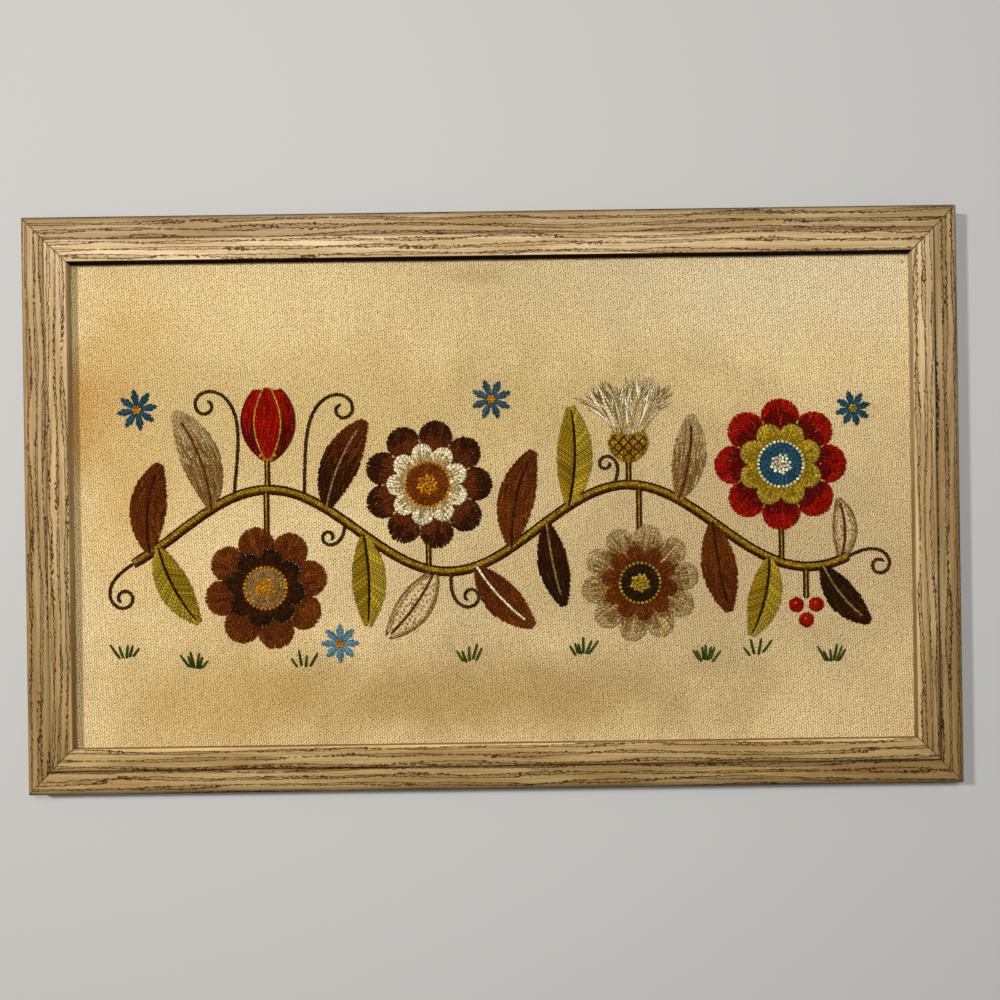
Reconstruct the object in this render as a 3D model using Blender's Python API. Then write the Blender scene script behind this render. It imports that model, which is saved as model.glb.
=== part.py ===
"""Framed embroidery picture, lying on its back with its face up.

Four mitred lengths of a stepped moulding make the frame. Their rebate holds a hardboard panel, and
the embroidered cloth is stretched over the panel's front and turned round its edges to the back.
The raised wool of the embroidery, a scrolling vine with flowers and leaves, stands on the cloth.

Metres, +Z out of the picture, +Y to its top. The origin is the middle of the frame's back.
"""

import math
from collections import namedtuple

import bmesh
import bpy

MM = 0.001

# The frame, outside, and its moulding.
PICTURE_WIDTH = 660 * MM
PICTURE_HEIGHT = 408 * MM
FACE_WIDTH = 32.3 * MM
FRAME_DEPTH = 19 * MM
REBATE_WIDTH = 7.3 * MM
REBATE_FLOOR = 9.8 * MM
MITRE_GAP = 0.3 * MM

# Its section: a rounded outer edge, a convex slope, a step up and a flat band down to the lip.
EDGE_RADIUS = 2.2 * MM
EDGE_HEIGHT = 14.6 * MM
CREST = (6.0 * MM, 18.3 * MM)
SLOPE_END = (15.5 * MM, 16.6 * MM)
STEP = [(16.3 * MM, 16.0 * MM), (16.9 * MM, 17.9 * MM), (17.7 * MM, 18.7 * MM)]
BAND_PULL = (23.6 * MM, 19.2 * MM)
BAND_END = (31.3 * MM, 18.0 * MM)
LIP_RADIUS = 0.9 * MM

# What lies in the rebate.
FIT_GAP = 0.3 * MM
CLOTH_THICKNESS = 1.2 * MM
PANEL_THICKNESS = 3.0 * MM
TURNING = 24 * MM
PANEL_CHAMFER = 0.4 * MM

CLOTH_FACE = REBATE_FLOOR - FIT_GAP
PANEL_TOP = CLOTH_FACE - CLOTH_THICKNESS - FIT_GAP
PANEL_BOTTOM = PANEL_TOP - PANEL_THICKNESS
CLOTH_BACK = PANEL_BOTTOM - FIT_GAP - CLOTH_THICKNESS
CLOTH_WIDTH = PICTURE_WIDTH - 2 * (FACE_WIDTH - REBATE_WIDTH + FIT_GAP)
CLOTH_HEIGHT = PICTURE_HEIGHT - 2 * (FACE_WIDTH - REBATE_WIDTH + FIT_GAP)
CAVITY_WIDTH = CLOTH_WIDTH - 2 * CLOTH_THICKNESS
CAVITY_HEIGHT = CLOTH_HEIGHT - 2 * CLOTH_THICKNESS

# How far each layer of raised wool stands above the cloth.
VINE_RISE = 1.1 * MM
STALK_RISE = 1.0 * MM
TENDRIL_RISE = 0.9 * MM
LEAF_RISE = 1.3 * MM
PETAL_RISE = 1.5 * MM
INNER_PETAL_RISE = 1.9 * MM
EYE_RISE = 2.5 * MM
MIDDLE_PETAL_LIFT = 0.3 * MM
PAD_ROOT = 0.6 * MM
PAD_SHOULDER = 1.1 * MM

# The vine is a sine wave across the picture. Lengths in these tables are in millimetres.
VINE_LEFT, VINE_RIGHT = -256, 252
VINE_START, VINE_WAVE, VINE_SWING, VINE_HEIGHT = -224, 256, 30, -20
VINE_BREADTH = 6.5
STALK_BREADTH = 4.0

# A leaf grows from the vine at along, to its upper (1) or lower (-1) side, leaning from the vine's
# direction by lean degrees and turning by bend degrees on its way to the tip.
Leaf = namedtuple("Leaf", "along side lean length width bend")
LEAVES = [
    Leaf(-244, 1, 68, 66, 26, -36),
    Leaf(-238, -1, 112, 62, 24, 30),
    Leaf(-200, 1, 62, 76, 28, 34),
    Leaf(-118, 1, 113, 70, 27, -30),
    Leaf(-92, -1, 44, 66, 25, -16),
    Leaf(-42, -1, 104, 58, 24, -24),
    Leaf(-12, -1, 78, 60, 25, 24),
    Leaf(13, 1, 58, 72, 26, -30),
    Leaf(54, 1, 44, 72, 26, 24),
    Leaf(38, -1, 120, 62, 22, 10),
    Leaf(132, 1, 98, 62, 24, 26),
    Leaf(156, -1, 48, 66, 25, 8),
    Leaf(196, -1, 64, 58, 24, -30),
    Leaf(234, -1, 76, 54, 22, 30),
    Leaf(247, 1, 50, 44, 17, 40),
]

# How blunt a leaf's two ends are, and how full its sides.
LEAF_END, LEAF_FULLNESS = 0.04, 0.8

# A blossom has a ring of petals, a smaller ring on it and an eye.
Blossom = namedtuple("Blossom", "x y radius petals turn")
BLOSSOMS = [
    Blossom(-162, -60, 44, 8, 12),
    Blossom(-46, 12, 46, 9, 0),
    Blossom(104, -60, 42, 10, 8),
    Blossom(205, 23, 47, 8, 0),
]
INNER_RING, EYE_RING = 0.64, 0.34
DAISIES = [
    Blossom(-252, 68, 15, 8, 10),
    Blossom(0, 72, 15, 8, 20),
    Blossom(-110, -100, 14, 8, 0),
    Blossom(257, 62, 13, 8, 15),
]
PETAL_NOTCH, DAISY_NOTCH = 0.70, 0.60

# A straight stalk runs from the vine at along to the height end.
Stalk = namedtuple("Stalk", "along end")
STALKS = [
    Stalk(-160, 36),
    Stalk(-161, -22),
    Stalk(-46, -28),
    Stalk(97, 34),
    Stalk(104, -22),
    Stalk(205, -20),
    Stalk(222, -72),
]

# A tendril leaves the vine as a leaf does and turns by turn degrees in all. The higher late is,
# the longer it stays straight and the tighter it curls at its end.
Tendril = namedtuple("Tendril", "along side lean length turn late")
TENDRILS = [
    Tendril(-256, 1, 186, 74, 460, 2.2),
    Tendril(-184, 1, 62, 124, 430, 4.0),
    Tendril(-134, 1, 112, 124, -430, 4.0),
    Tendril(-105, -1, 62, 44, -400, 2.2),
    Tendril(-30, -1, 96, 62, 420, 2.2),
    Tendril(86, 1, 58, 46, 400, 2.2),
    Tendril(252, 1, 0, 66, -440, 2.2),
]
TENDRIL_BREADTH = 3.0

# Berries hang from a stalk in threes.
Berry = namedtuple("Berry", "x y radius")
BERRIES = [Berry(215, -77, 5.5), Berry(229, -77, 5.5), Berry(222, -88, 5.5)]

TULIP_X, TULIP_Y = -159, 31
TULIP_LENGTH, TULIP_WIDTH = 52, 24
TULIP_SPREAD, TULIP_BEND = 24, -34
THISTLE_X, THISTLE_Y = 97, 40
THISTLE_RADIUS = 14
TUFT_REACH, TUFT_SPREAD, TUFT_FOOT = 42, 38, 7

OAK = (0.64, 0.44, 0.23, 1.0)
HARDBOARD = (0.26, 0.15, 0.08, 1.0)
TWILL = (0.78, 0.62, 0.36, 1.0)


def clear_scene():
    """Removes every object that the file opened with."""
    for found in list(bpy.data.objects):
        bpy.data.objects.remove(found, do_unlink=True)


def finish(name, colour, roughness):
    """A plain material with one colour and roughness."""
    made = bpy.data.materials.new(name)
    made.use_nodes = True
    shader = made.node_tree.nodes["Principled BSDF"]
    shader.inputs["Base Color"].default_value = colour
    shader.inputs["Roughness"].default_value = roughness
    shader.inputs["Metallic"].default_value = 0.0
    return made


def object_from(name, mesh_data, material=None):
    """Links a bmesh into the scene as an object."""
    mesh = bpy.data.meshes.new(name)
    mesh_data.to_mesh(mesh)
    mesh_data.free()
    made = bpy.data.objects.new(name, mesh)
    bpy.context.scene.collection.objects.link(made)
    if material:
        mesh.materials.append(material)
    return made


def arc(centre, radius, first, last, steps):
    """Points of an arc in the moulding's section, angles in degrees."""
    angles = [math.radians(first + (last - first) * i / steps) for i in range(steps + 1)]
    return [(centre[0] + radius * math.cos(a), centre[1] + radius * math.sin(a)) for a in angles]


def bow(start, pull, end, steps):
    """Points of a shallow curve from start to end that leans to pull, without its start."""
    found = []
    for i in range(1, steps + 1):
        t = i / steps
        a, b, c = (1 - t) ** 2, 2 * t * (1 - t), t * t
        found.append(tuple(a * start[k] + b * pull[k] + c * end[k] for k in range(2)))
    return found


def moulding_section():
    """The section of the moulding as (distance from the outer edge, height) points.

    It runs up the outer side, over a rounded outer slope, up a step to the inner band, over the
    rounded lip at the sight edge and back round the rebate.
    """
    edge = arc((EDGE_RADIUS, EDGE_HEIGHT), EDGE_RADIUS, 180, 112, 4)
    slope = bow(edge[-1], CREST, SLOPE_END, 6)
    band = bow(STEP[-1], BAND_PULL, BAND_END, 5)
    lip = arc((FACE_WIDTH - LIP_RADIUS, BAND_END[1] - LIP_RADIUS), LIP_RADIUS, 84, 0, 5)
    rebate = FACE_WIDTH - REBATE_WIDTH
    back = [(FACE_WIDTH, REBATE_FLOOR), (rebate, REBATE_FLOOR), (rebate, 0.0)]
    return [(0.0, 0.0)] + edge + slope + STEP + band + lip + back


def rail(name, length, place, turn, material):
    """One side of the frame: the moulding cut to a mitre at both ends.

    The section's distances run along the object's +Y, so the mitres shorten the rail by as much.
    """
    section = moulding_section()
    trim = MITRE_GAP / 2 * math.sqrt(2)
    shape = bmesh.new()
    ends = []
    for side in (-1, 1):
        ring = [shape.verts.new((side * (length / 2 - y - trim), y, z)) for y, z in section]
        ends.append(ring)
    count = len(section)
    for i in range(count):
        j = (i + 1) % count
        shape.faces.new((ends[0][i], ends[0][j], ends[1][j], ends[1][i]))
    shape.faces.new(ends[0])
    shape.faces.new(ends[1])
    bmesh.ops.recalc_face_normals(shape, faces=shape.faces)
    made = object_from(name, shape, material)
    made.data.shade_smooth()
    made.data.set_sharp_from_angle(angle=math.radians(30))
    made.location = place
    made.rotation_euler.z = math.radians(turn)
    return made


def block(name, width, height, bottom, top, material=None):
    """A box centred on the origin in X and Y."""
    shape = bmesh.new()
    bmesh.ops.create_cube(shape, size=1.0)
    for point in shape.verts:
        point.co.x *= width
        point.co.y *= height
        point.co.z = top if point.co.z > 0 else bottom
    return object_from(name, shape, material)


def panel(material):
    """The hardboard that the cloth is stretched over, with its edges eased."""
    made = block(
        "backing_panel",
        CAVITY_WIDTH - 2 * FIT_GAP,
        CAVITY_HEIGHT - 2 * FIT_GAP,
        PANEL_BOTTOM,
        PANEL_TOP,
        material,
    )
    eased = made.modifiers.new("eased edges", "BEVEL")
    eased.width = PANEL_CHAMFER
    eased.segments = 1
    return made


def vine_point(x):
    """The middle of the vine at x, in millimetres."""
    return x, VINE_HEIGHT + VINE_SWING * math.sin(2 * math.pi * (x - VINE_START) / VINE_WAVE)


def vine_angle(x):
    """The vine's direction at x, in radians."""
    swing = 2 * math.pi / VINE_WAVE
    return math.atan(VINE_SWING * swing * math.cos(swing * (x - VINE_START)))


def tendril_line(tendril, steps=22):
    """The points of a tendril, whose heading turns as a power of the way along it."""
    x, y = vine_point(tendril.along)
    start = vine_angle(tendril.along) + math.radians(tendril.side * tendril.lean)
    found = [(x, y)]
    for i in range(steps):
        heading = start + math.radians(tendril.turn) * ((i + 0.5) / steps) ** tendril.late
        x += tendril.length / steps * math.cos(heading)
        y += tendril.length / steps * math.sin(heading)
        found.append((x, y))
    return found


def strip_outline(line, breadth):
    """The outline of a strip of one breadth along a line of points."""
    left, right = [], []
    for i, (x, y) in enumerate(line):
        before, after = line[max(i - 1, 0)], line[min(i + 1, len(line) - 1)]
        run, rise = after[0] - before[0], after[1] - before[1]
        size = math.hypot(run, rise)
        off_x, off_y = -rise / size * breadth / 2, run / size * breadth / 2
        left.append((x + off_x, y + off_y))
        right.append((x - off_x, y - off_y))
    return left + right[::-1]


def leaf_outline(x, y, angle, length, width, bend, steps=9):
    """The outline of a leaf or petal with a curved midrib that starts at x, y."""
    left, right = [], []
    for i in range(steps + 1):
        s = i / steps
        heading = angle + bend * s
        if abs(bend) > 1e-6:
            mid_x = x + length / bend * (math.sin(heading) - math.sin(angle))
            mid_y = y - length / bend * (math.cos(heading) - math.cos(angle))
        else:
            mid_x, mid_y = x + length * s * math.cos(angle), y + length * s * math.sin(angle)
        half = width / 2 * math.sin(math.pi * (LEAF_END + (1 - 2 * LEAF_END) * s)) ** LEAF_FULLNESS
        left.append((mid_x - half * math.sin(heading), mid_y + half * math.cos(heading)))
        right.append((mid_x + half * math.sin(heading), mid_y - half * math.cos(heading)))
    return left + right[::-1]


def rosette_outline(x, y, radius, petals, turn, notch=PETAL_NOTCH, steps=6):
    """The outline of a ring of round petals: the radius dips to notch times itself between them."""
    found = []
    for i in range(petals * steps):
        angle = 2 * math.pi * i / (petals * steps)
        swell = abs(math.cos(petals * (angle - math.radians(turn)) / 2)) ** 0.5
        reach = radius * (notch + (1 - notch) * swell)
        found.append((x + reach * math.cos(angle), y + reach * math.sin(angle)))
    return found


def round_outline(x, y, radius, steps=20):
    """The outline of a round eye."""
    return rosette_outline(x, y, radius, 1, 0, notch=1.0, steps=steps)


def tuft_outline():
    """The outline of the thistle's loose tuft, a fan of strands above its cup."""
    steps = 8
    turns = [math.radians(90 + TUFT_SPREAD * (1 - 2 * i / steps)) for i in range(steps + 1)]
    rim = [
        (THISTLE_X + TUFT_REACH * math.cos(a), THISTLE_Y + TUFT_REACH * math.sin(a)) for a in turns
    ]
    return rim + [(THISTLE_X + TUFT_FOOT, THISTLE_Y), (THISTLE_X - TUFT_FOOT, THISTLE_Y)]


def tulip_outlines():
    """The outlines of the tulip's two side petals and its straight middle one."""
    found = []
    for lean in (1, -1, 0):
        angle = math.radians(90 + lean * TULIP_SPREAD)
        bend = math.radians(TULIP_BEND * lean)
        found.append(leaf_outline(TULIP_X, TULIP_Y, angle, TULIP_LENGTH, TULIP_WIDTH, bend))
    return found


def pad(name, outline, rise, group):
    """A flat pad of raised stitching on the cloth with a rounded-off shoulder.

    It is a guide for the Boolean that joins it to the cloth, and its root lies inside the cloth.
    """
    shape = bmesh.new()
    ring = [shape.verts.new((x * MM, y * MM, CLOTH_FACE - PAD_ROOT)) for x, y in outline]
    base = shape.faces.new(ring)
    base.normal_update()
    if base.normal.z < 0:
        base.normal_flip()
    grown = bmesh.ops.extrude_face_region(shape, geom=[base])
    lifted = [v for v in grown["geom"] if isinstance(v, bmesh.types.BMVert)]
    bmesh.ops.translate(shape, verts=lifted, vec=(0, 0, PAD_ROOT + rise / 2))
    top = [f for f in grown["geom"] if isinstance(f, bmesh.types.BMFace)]
    bmesh.ops.inset_region(shape, faces=top, thickness=PAD_SHOULDER, depth=rise / 2)
    bmesh.ops.recalc_face_normals(shape, faces=shape.faces)
    made = object_from(name, shape)
    bpy.context.scene.collection.objects.unlink(made)
    group.objects.link(made)
    made.hide_render = True
    made.display_type = "WIRE"
    return made


def stitched_pads(group):
    """Makes a pad for each motif of the embroidery, lowest layer first."""
    steps = 48
    across = [VINE_LEFT + (VINE_RIGHT - VINE_LEFT) * i / steps for i in range(steps + 1)]
    pad("vine_pad", strip_outline([vine_point(x) for x in across], VINE_BREADTH), VINE_RISE, group)
    for i, stalk in enumerate(STALKS):
        line = [vine_point(stalk.along), (stalk.along, stalk.end)]
        pad(f"stalk_pad_{i}", strip_outline(line, STALK_BREADTH), STALK_RISE, group)
    for i, tendril in enumerate(TENDRILS):
        line = tendril_line(tendril)
        pad(f"tendril_pad_{i}", strip_outline(line, TENDRIL_BREADTH), TENDRIL_RISE, group)
    for i, berry in enumerate(BERRIES):
        pad(f"berry_pad_{i}", round_outline(*berry, steps=10), EYE_RISE, group)
    for i, leaf in enumerate(LEAVES):
        x, y = vine_point(leaf.along)
        angle = vine_angle(leaf.along) + math.radians(leaf.side * leaf.lean)
        outline = leaf_outline(x, y, angle, leaf.length, leaf.width, math.radians(leaf.bend))
        pad(f"leaf_pad_{i}", outline, LEAF_RISE, group)
    for i, petal in enumerate(tulip_outlines()):
        pad(f"tulip_pad_{i}", petal, PETAL_RISE + (MIDDLE_PETAL_LIFT if i == 2 else 0.0), group)
    pad("tuft_pad", tuft_outline(), LEAF_RISE, group)
    pad("thistle_pad", round_outline(THISTLE_X, THISTLE_Y, THISTLE_RADIUS), EYE_RISE, group)
    for i, flower in enumerate(BLOSSOMS):
        pad(f"petal_pad_{i}", rosette_outline(*flower), PETAL_RISE, group)
        inner = flower._replace(
            radius=flower.radius * INNER_RING, turn=flower.turn + 180 / flower.petals
        )
        pad(f"inner_pad_{i}", rosette_outline(*inner, steps=5), INNER_PETAL_RISE, group)
        eye = round_outline(flower.x, flower.y, flower.radius * EYE_RING)
        pad(f"eye_pad_{i}", eye, EYE_RISE, group)
    for i, flower in enumerate(DAISIES):
        pad(f"daisy_pad_{i}", rosette_outline(*flower, DAISY_NOTCH, steps=4), PETAL_RISE, group)


def cloth(material):
    """The embroidered cloth: its front, its turned edges and its turnings on the panel's back."""
    made = block(
        "embroidered_cloth", CLOTH_WIDTH, CLOTH_HEIGHT, CLOTH_BACK, CLOTH_FACE, material
    )
    room = block(
        "room_for_panel",
        CAVITY_WIDTH,
        CAVITY_HEIGHT,
        PANEL_BOTTOM - FIT_GAP,
        PANEL_TOP + FIT_GAP,
    )
    window = block(
        "window_in_back",
        CLOTH_WIDTH - 2 * TURNING,
        CLOTH_HEIGHT - 2 * TURNING,
        CLOTH_BACK - PANEL_THICKNESS,
        PANEL_BOTTOM,
    )
    for cutter in (room, window):
        cutter.hide_render = True
        cutter.display_type = "WIRE"
        cut = made.modifiers.new(cutter.name, "BOOLEAN")
        cut.operation = "DIFFERENCE"
        cut.object = cutter
    group = bpy.data.collections.new("raised_wool")
    bpy.context.scene.collection.children.link(group)
    stitched_pads(group)
    joined = made.modifiers.new("raised wool", "BOOLEAN")
    joined.operation = "UNION"
    joined.operand_type = "COLLECTION"
    joined.collection = group
    return made


def main():
    """Builds the frame, the panel and the cloth."""
    clear_scene()
    oak = finish("oak_moulding", OAK, 0.45)
    half_width, half_height = PICTURE_WIDTH / 2, PICTURE_HEIGHT / 2
    rail("rail_bottom", PICTURE_WIDTH, (0, -half_height, 0), 0, oak)
    rail("rail_right", PICTURE_HEIGHT, (half_width, 0, 0), 90, oak)
    rail("rail_top", PICTURE_WIDTH, (0, half_height, 0), 180, oak)
    rail("rail_left", PICTURE_HEIGHT, (-half_width, 0, 0), -90, oak)
    panel(finish("hardboard", HARDBOARD, 0.7))
    cloth(finish("cotton_twill", TWILL, 0.9))


main()
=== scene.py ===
"""Dresses a framed crewel embroidery: oak-finish moulding, cotton twill and wool stitch by stitch.

The picture lies on its back, +Z out of its face and +Y to its top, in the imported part's frame.
Everything is in metres. The embroidery's tables are in millimetres and pass through MM.
"""

from __future__ import annotations

import logging
import math
from collections.abc import Callable
from dataclasses import dataclass, field
from enum import Enum
from functools import partial

import bpy
import numpy as np
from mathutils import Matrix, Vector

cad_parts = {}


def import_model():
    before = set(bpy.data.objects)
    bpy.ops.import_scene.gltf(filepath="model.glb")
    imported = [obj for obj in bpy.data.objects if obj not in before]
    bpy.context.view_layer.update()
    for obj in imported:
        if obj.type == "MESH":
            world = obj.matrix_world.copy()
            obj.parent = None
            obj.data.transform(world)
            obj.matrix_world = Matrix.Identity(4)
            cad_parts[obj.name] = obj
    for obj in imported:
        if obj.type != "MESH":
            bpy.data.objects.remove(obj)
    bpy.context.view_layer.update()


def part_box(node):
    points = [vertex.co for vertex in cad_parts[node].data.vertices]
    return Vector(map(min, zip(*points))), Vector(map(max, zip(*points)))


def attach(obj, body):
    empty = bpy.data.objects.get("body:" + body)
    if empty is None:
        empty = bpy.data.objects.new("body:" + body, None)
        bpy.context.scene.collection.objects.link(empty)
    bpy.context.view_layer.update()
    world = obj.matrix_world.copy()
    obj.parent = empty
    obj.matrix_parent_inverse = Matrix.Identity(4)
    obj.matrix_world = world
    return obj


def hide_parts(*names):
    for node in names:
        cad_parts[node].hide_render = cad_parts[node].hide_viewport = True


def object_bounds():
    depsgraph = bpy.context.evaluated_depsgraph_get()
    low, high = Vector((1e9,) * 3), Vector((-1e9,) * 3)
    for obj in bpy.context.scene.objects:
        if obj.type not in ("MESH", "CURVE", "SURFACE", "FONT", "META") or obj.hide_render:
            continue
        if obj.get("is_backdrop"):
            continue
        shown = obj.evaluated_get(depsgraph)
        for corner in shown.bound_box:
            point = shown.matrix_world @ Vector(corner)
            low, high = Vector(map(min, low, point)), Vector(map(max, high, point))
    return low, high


MM = 0.001
BODY = "root"
log = logging.getLogger("scene")


# ---------------------------------------------------------------------------------------------
# Colours and shader building
# ---------------------------------------------------------------------------------------------


def linear(code: str) -> tuple[float, float, float, float]:
    """A colour written as six hexadecimal digits, in linear light.

    Args:
        code: the red, green and blue of the colour as sRGB, two digits each.

    Returns:
        Its linear red, green and blue, by the sRGB curve ((c + 0.055) / 1.055) ** 2.4, and alpha 1.
    """
    values = [int(code[i : i + 2], 16) / 255 for i in (0, 2, 4)]
    found = [c / 12.92 if c <= 0.04045 else ((c + 0.055) / 1.055) ** 2.4 for c in values]
    return found[0], found[1], found[2], 1.0


class Dye(Enum):
    """The colours of the wool."""

    CHESTNUT = "542408"
    CHOCOLATE = "301404"
    RUST = "602D06"
    NEARLY_BLACK = "241405"
    TAN = "7C5C30"
    SAND = "A08656"
    CREAM = "D8C8A0"
    MUSTARD = "846810"
    STRAW = "9A8020"
    GOLD = "B8760C"
    RED = "880B02"
    WINE = "540804"
    BLUE = "204250"
    SLATE = "304852"
    SKY = "527A88"
    GREEN = "2E3E12"
    PEAT = "36230C"


# How fine a noise on the UV map is: its features to the metre one way and the other.
Fine = tuple[float, float]


class Shader:
    """A material on one Principled BSDF, with short ways of adding the nodes that feed it."""

    def __init__(self, name: str, roughness: float, sheen: float = 0.0) -> None:
        """Starts the material.

        Args:
            name: the material's name.
            roughness: the surface's roughness where nothing is linked to it.
            sheen: the weight of the fabric's sheen.
        """
        self.material = bpy.data.materials.new(name)
        self.material.use_nodes = True
        self.tree = self.material.node_tree
        self.surface = self.tree.nodes["Principled BSDF"]
        self.surface.inputs["Roughness"].default_value = roughness
        self.surface.inputs["Sheen Weight"].default_value = sheen

    def add(self, kind: str, inputs: dict | None = None, **settings: object) -> bpy.types.Node:
        """Adds a node.

        Args:
            kind: the node's type without its ShaderNode prefix.
            inputs: for sockets by name or number, a value or a socket to link.
            settings: properties of the node itself.

        Returns:
            The node.
        """
        node = self.tree.nodes.new("ShaderNode" + kind)
        for key, value in settings.items():
            setattr(node, key, value)
        for key, value in (inputs or {}).items():
            self.feed(node.inputs[key], value)
        return node

    def feed(self, socket: bpy.types.NodeSocket, value: object) -> None:
        """Links a socket or sets it.

        Args:
            socket: the input to feed.
            value: a socket to link, a plain value, or a colour as six hexadecimal digits.
        """
        if isinstance(value, bpy.types.NodeSocket):
            self.tree.links.new(value, socket)
        else:
            socket.default_value = linear(value) if isinstance(value, str) else value

    def calc(self, operation: str, *values: object) -> bpy.types.NodeSocket:
        """The result of one Math node on the values."""
        node = self.add("Math", dict(enumerate(values)), operation=operation)
        return node.outputs[0]

    def times(self, first: object, second: object) -> bpy.types.NodeSocket:
        """The product of two values."""
        return self.calc("MULTIPLY", first, second)

    def plus(self, first: object, second: object) -> bpy.types.NodeSocket:
        """The sum of two values."""
        return self.calc("ADD", first, second)

    def minus(self, first: object, second: object) -> bpy.types.NodeSocket:
        """The first value less the second."""
        return self.calc("SUBTRACT", first, second)

    def place(self, source: str, x: float, y: float, z: float) -> bpy.types.NodeSocket:
        """Scaled coordinates.

        Args:
            source: Object or UV.
            x: the factor on the first coordinate.
            y: the factor on the second.
            z: the factor on the third.

        Returns:
            The socket of the scaled vector.
        """
        start = self.add("TexCoord").outputs[source]
        return self.add("Mapping", {"Vector": start, "Scale": (x, y, z)}).outputs[0]

    def split(self, vector: bpy.types.NodeSocket) -> list[bpy.types.NodeSocket]:
        """The three numbers of a vector."""
        return list(self.add("SeparateXYZ", {0: vector}).outputs)

    def join(self, x: object, y: object, z: object) -> bpy.types.NodeSocket:
        """A vector of three numbers."""
        return self.add("CombineXYZ", {0: x, 1: y, 2: z}).outputs[0]

    def flat(self) -> list[bpy.types.NodeSocket]:
        """The two numbers of the UV map."""
        return self.split(self.place("UV", 1.0, 1.0, 1.0))[:2]

    def noise(
        self, vector: bpy.types.NodeSocket, detail: float, rough: float
    ) -> bpy.types.NodeSocket:
        """Noise with features about one unit of the vector in size, from 0 to 1 around 0.5."""
        inputs = {"Vector": vector, "Scale": 1.0, "Detail": detail, "Roughness": rough}
        return self.add("TexNoise", inputs).outputs["Fac"]

    def cloud(
        self, fineness: float, detail: float = 2.0, rough: float = 0.5
    ) -> bpy.types.NodeSocket:
        """Noise with fineness features to the metre of the object, the same every way."""
        return self.noise(self.place("Object", fineness, fineness, fineness), detail, rough)

    def streak(self, fine: Fine, detail: float = 2.0, rough: float = 0.5) -> bpy.types.NodeSocket:
        """Noise on the UV map, with so many features to the metre along it and across."""
        return self.noise(self.place("UV", *fine, 1.0), detail, rough)

    def ramp(
        self, value: object, low: float, high: float, to_low: float = 0.0, to_high: float = 1.0
    ) -> bpy.types.NodeSocket:
        """A smooth step: to_low at low and below, and to_high at high and above."""
        inputs = {0: value, 1: low, 2: high, 3: to_low, 4: to_high}
        return self.add("MapRange", inputs, interpolation_type="SMOOTHSTEP").outputs[0]

    def mix(self, factor: object, first: object, second: object, blend: str = "MIX") -> object:
        """A colour that lies some of the way from one colour to another.

        Args:
            factor: how much of the way, from 0 to 1.
            first: the colour at 0.
            second: the colour at 1, or what it is blended with.
            blend: MIX, or MULTIPLY, where the first times the second stands at 1.

        Returns:
            The socket of the colour.
        """
        node = self.add("Mix", data_type="RGBA", blend_type=blend)
        self.feed(node.inputs[0], factor)
        self.feed(node.inputs[6], first)
        self.feed(node.inputs[7], second)
        return node.outputs[2]

    def attribute(self, name: str) -> bpy.types.NodeSocket:
        """A number stored on the mesh."""
        return self.add("Attribute", attribute_name=name).outputs["Fac"]

    def colour(self, value: object) -> None:
        """Sets or links the base colour."""
        self.feed(self.surface.inputs["Base Color"], value)

    def relief(self, height: bpy.types.NodeSocket, distance: float) -> None:
        """Bumps the surface by height times distance."""
        node = self.add("Bump", {"Height": height, "Distance": distance, "Strength": 1.0})
        self.feed(self.surface.inputs["Normal"], node.outputs[0])


# ---------------------------------------------------------------------------------------------
# Finishes
# ---------------------------------------------------------------------------------------------


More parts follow.
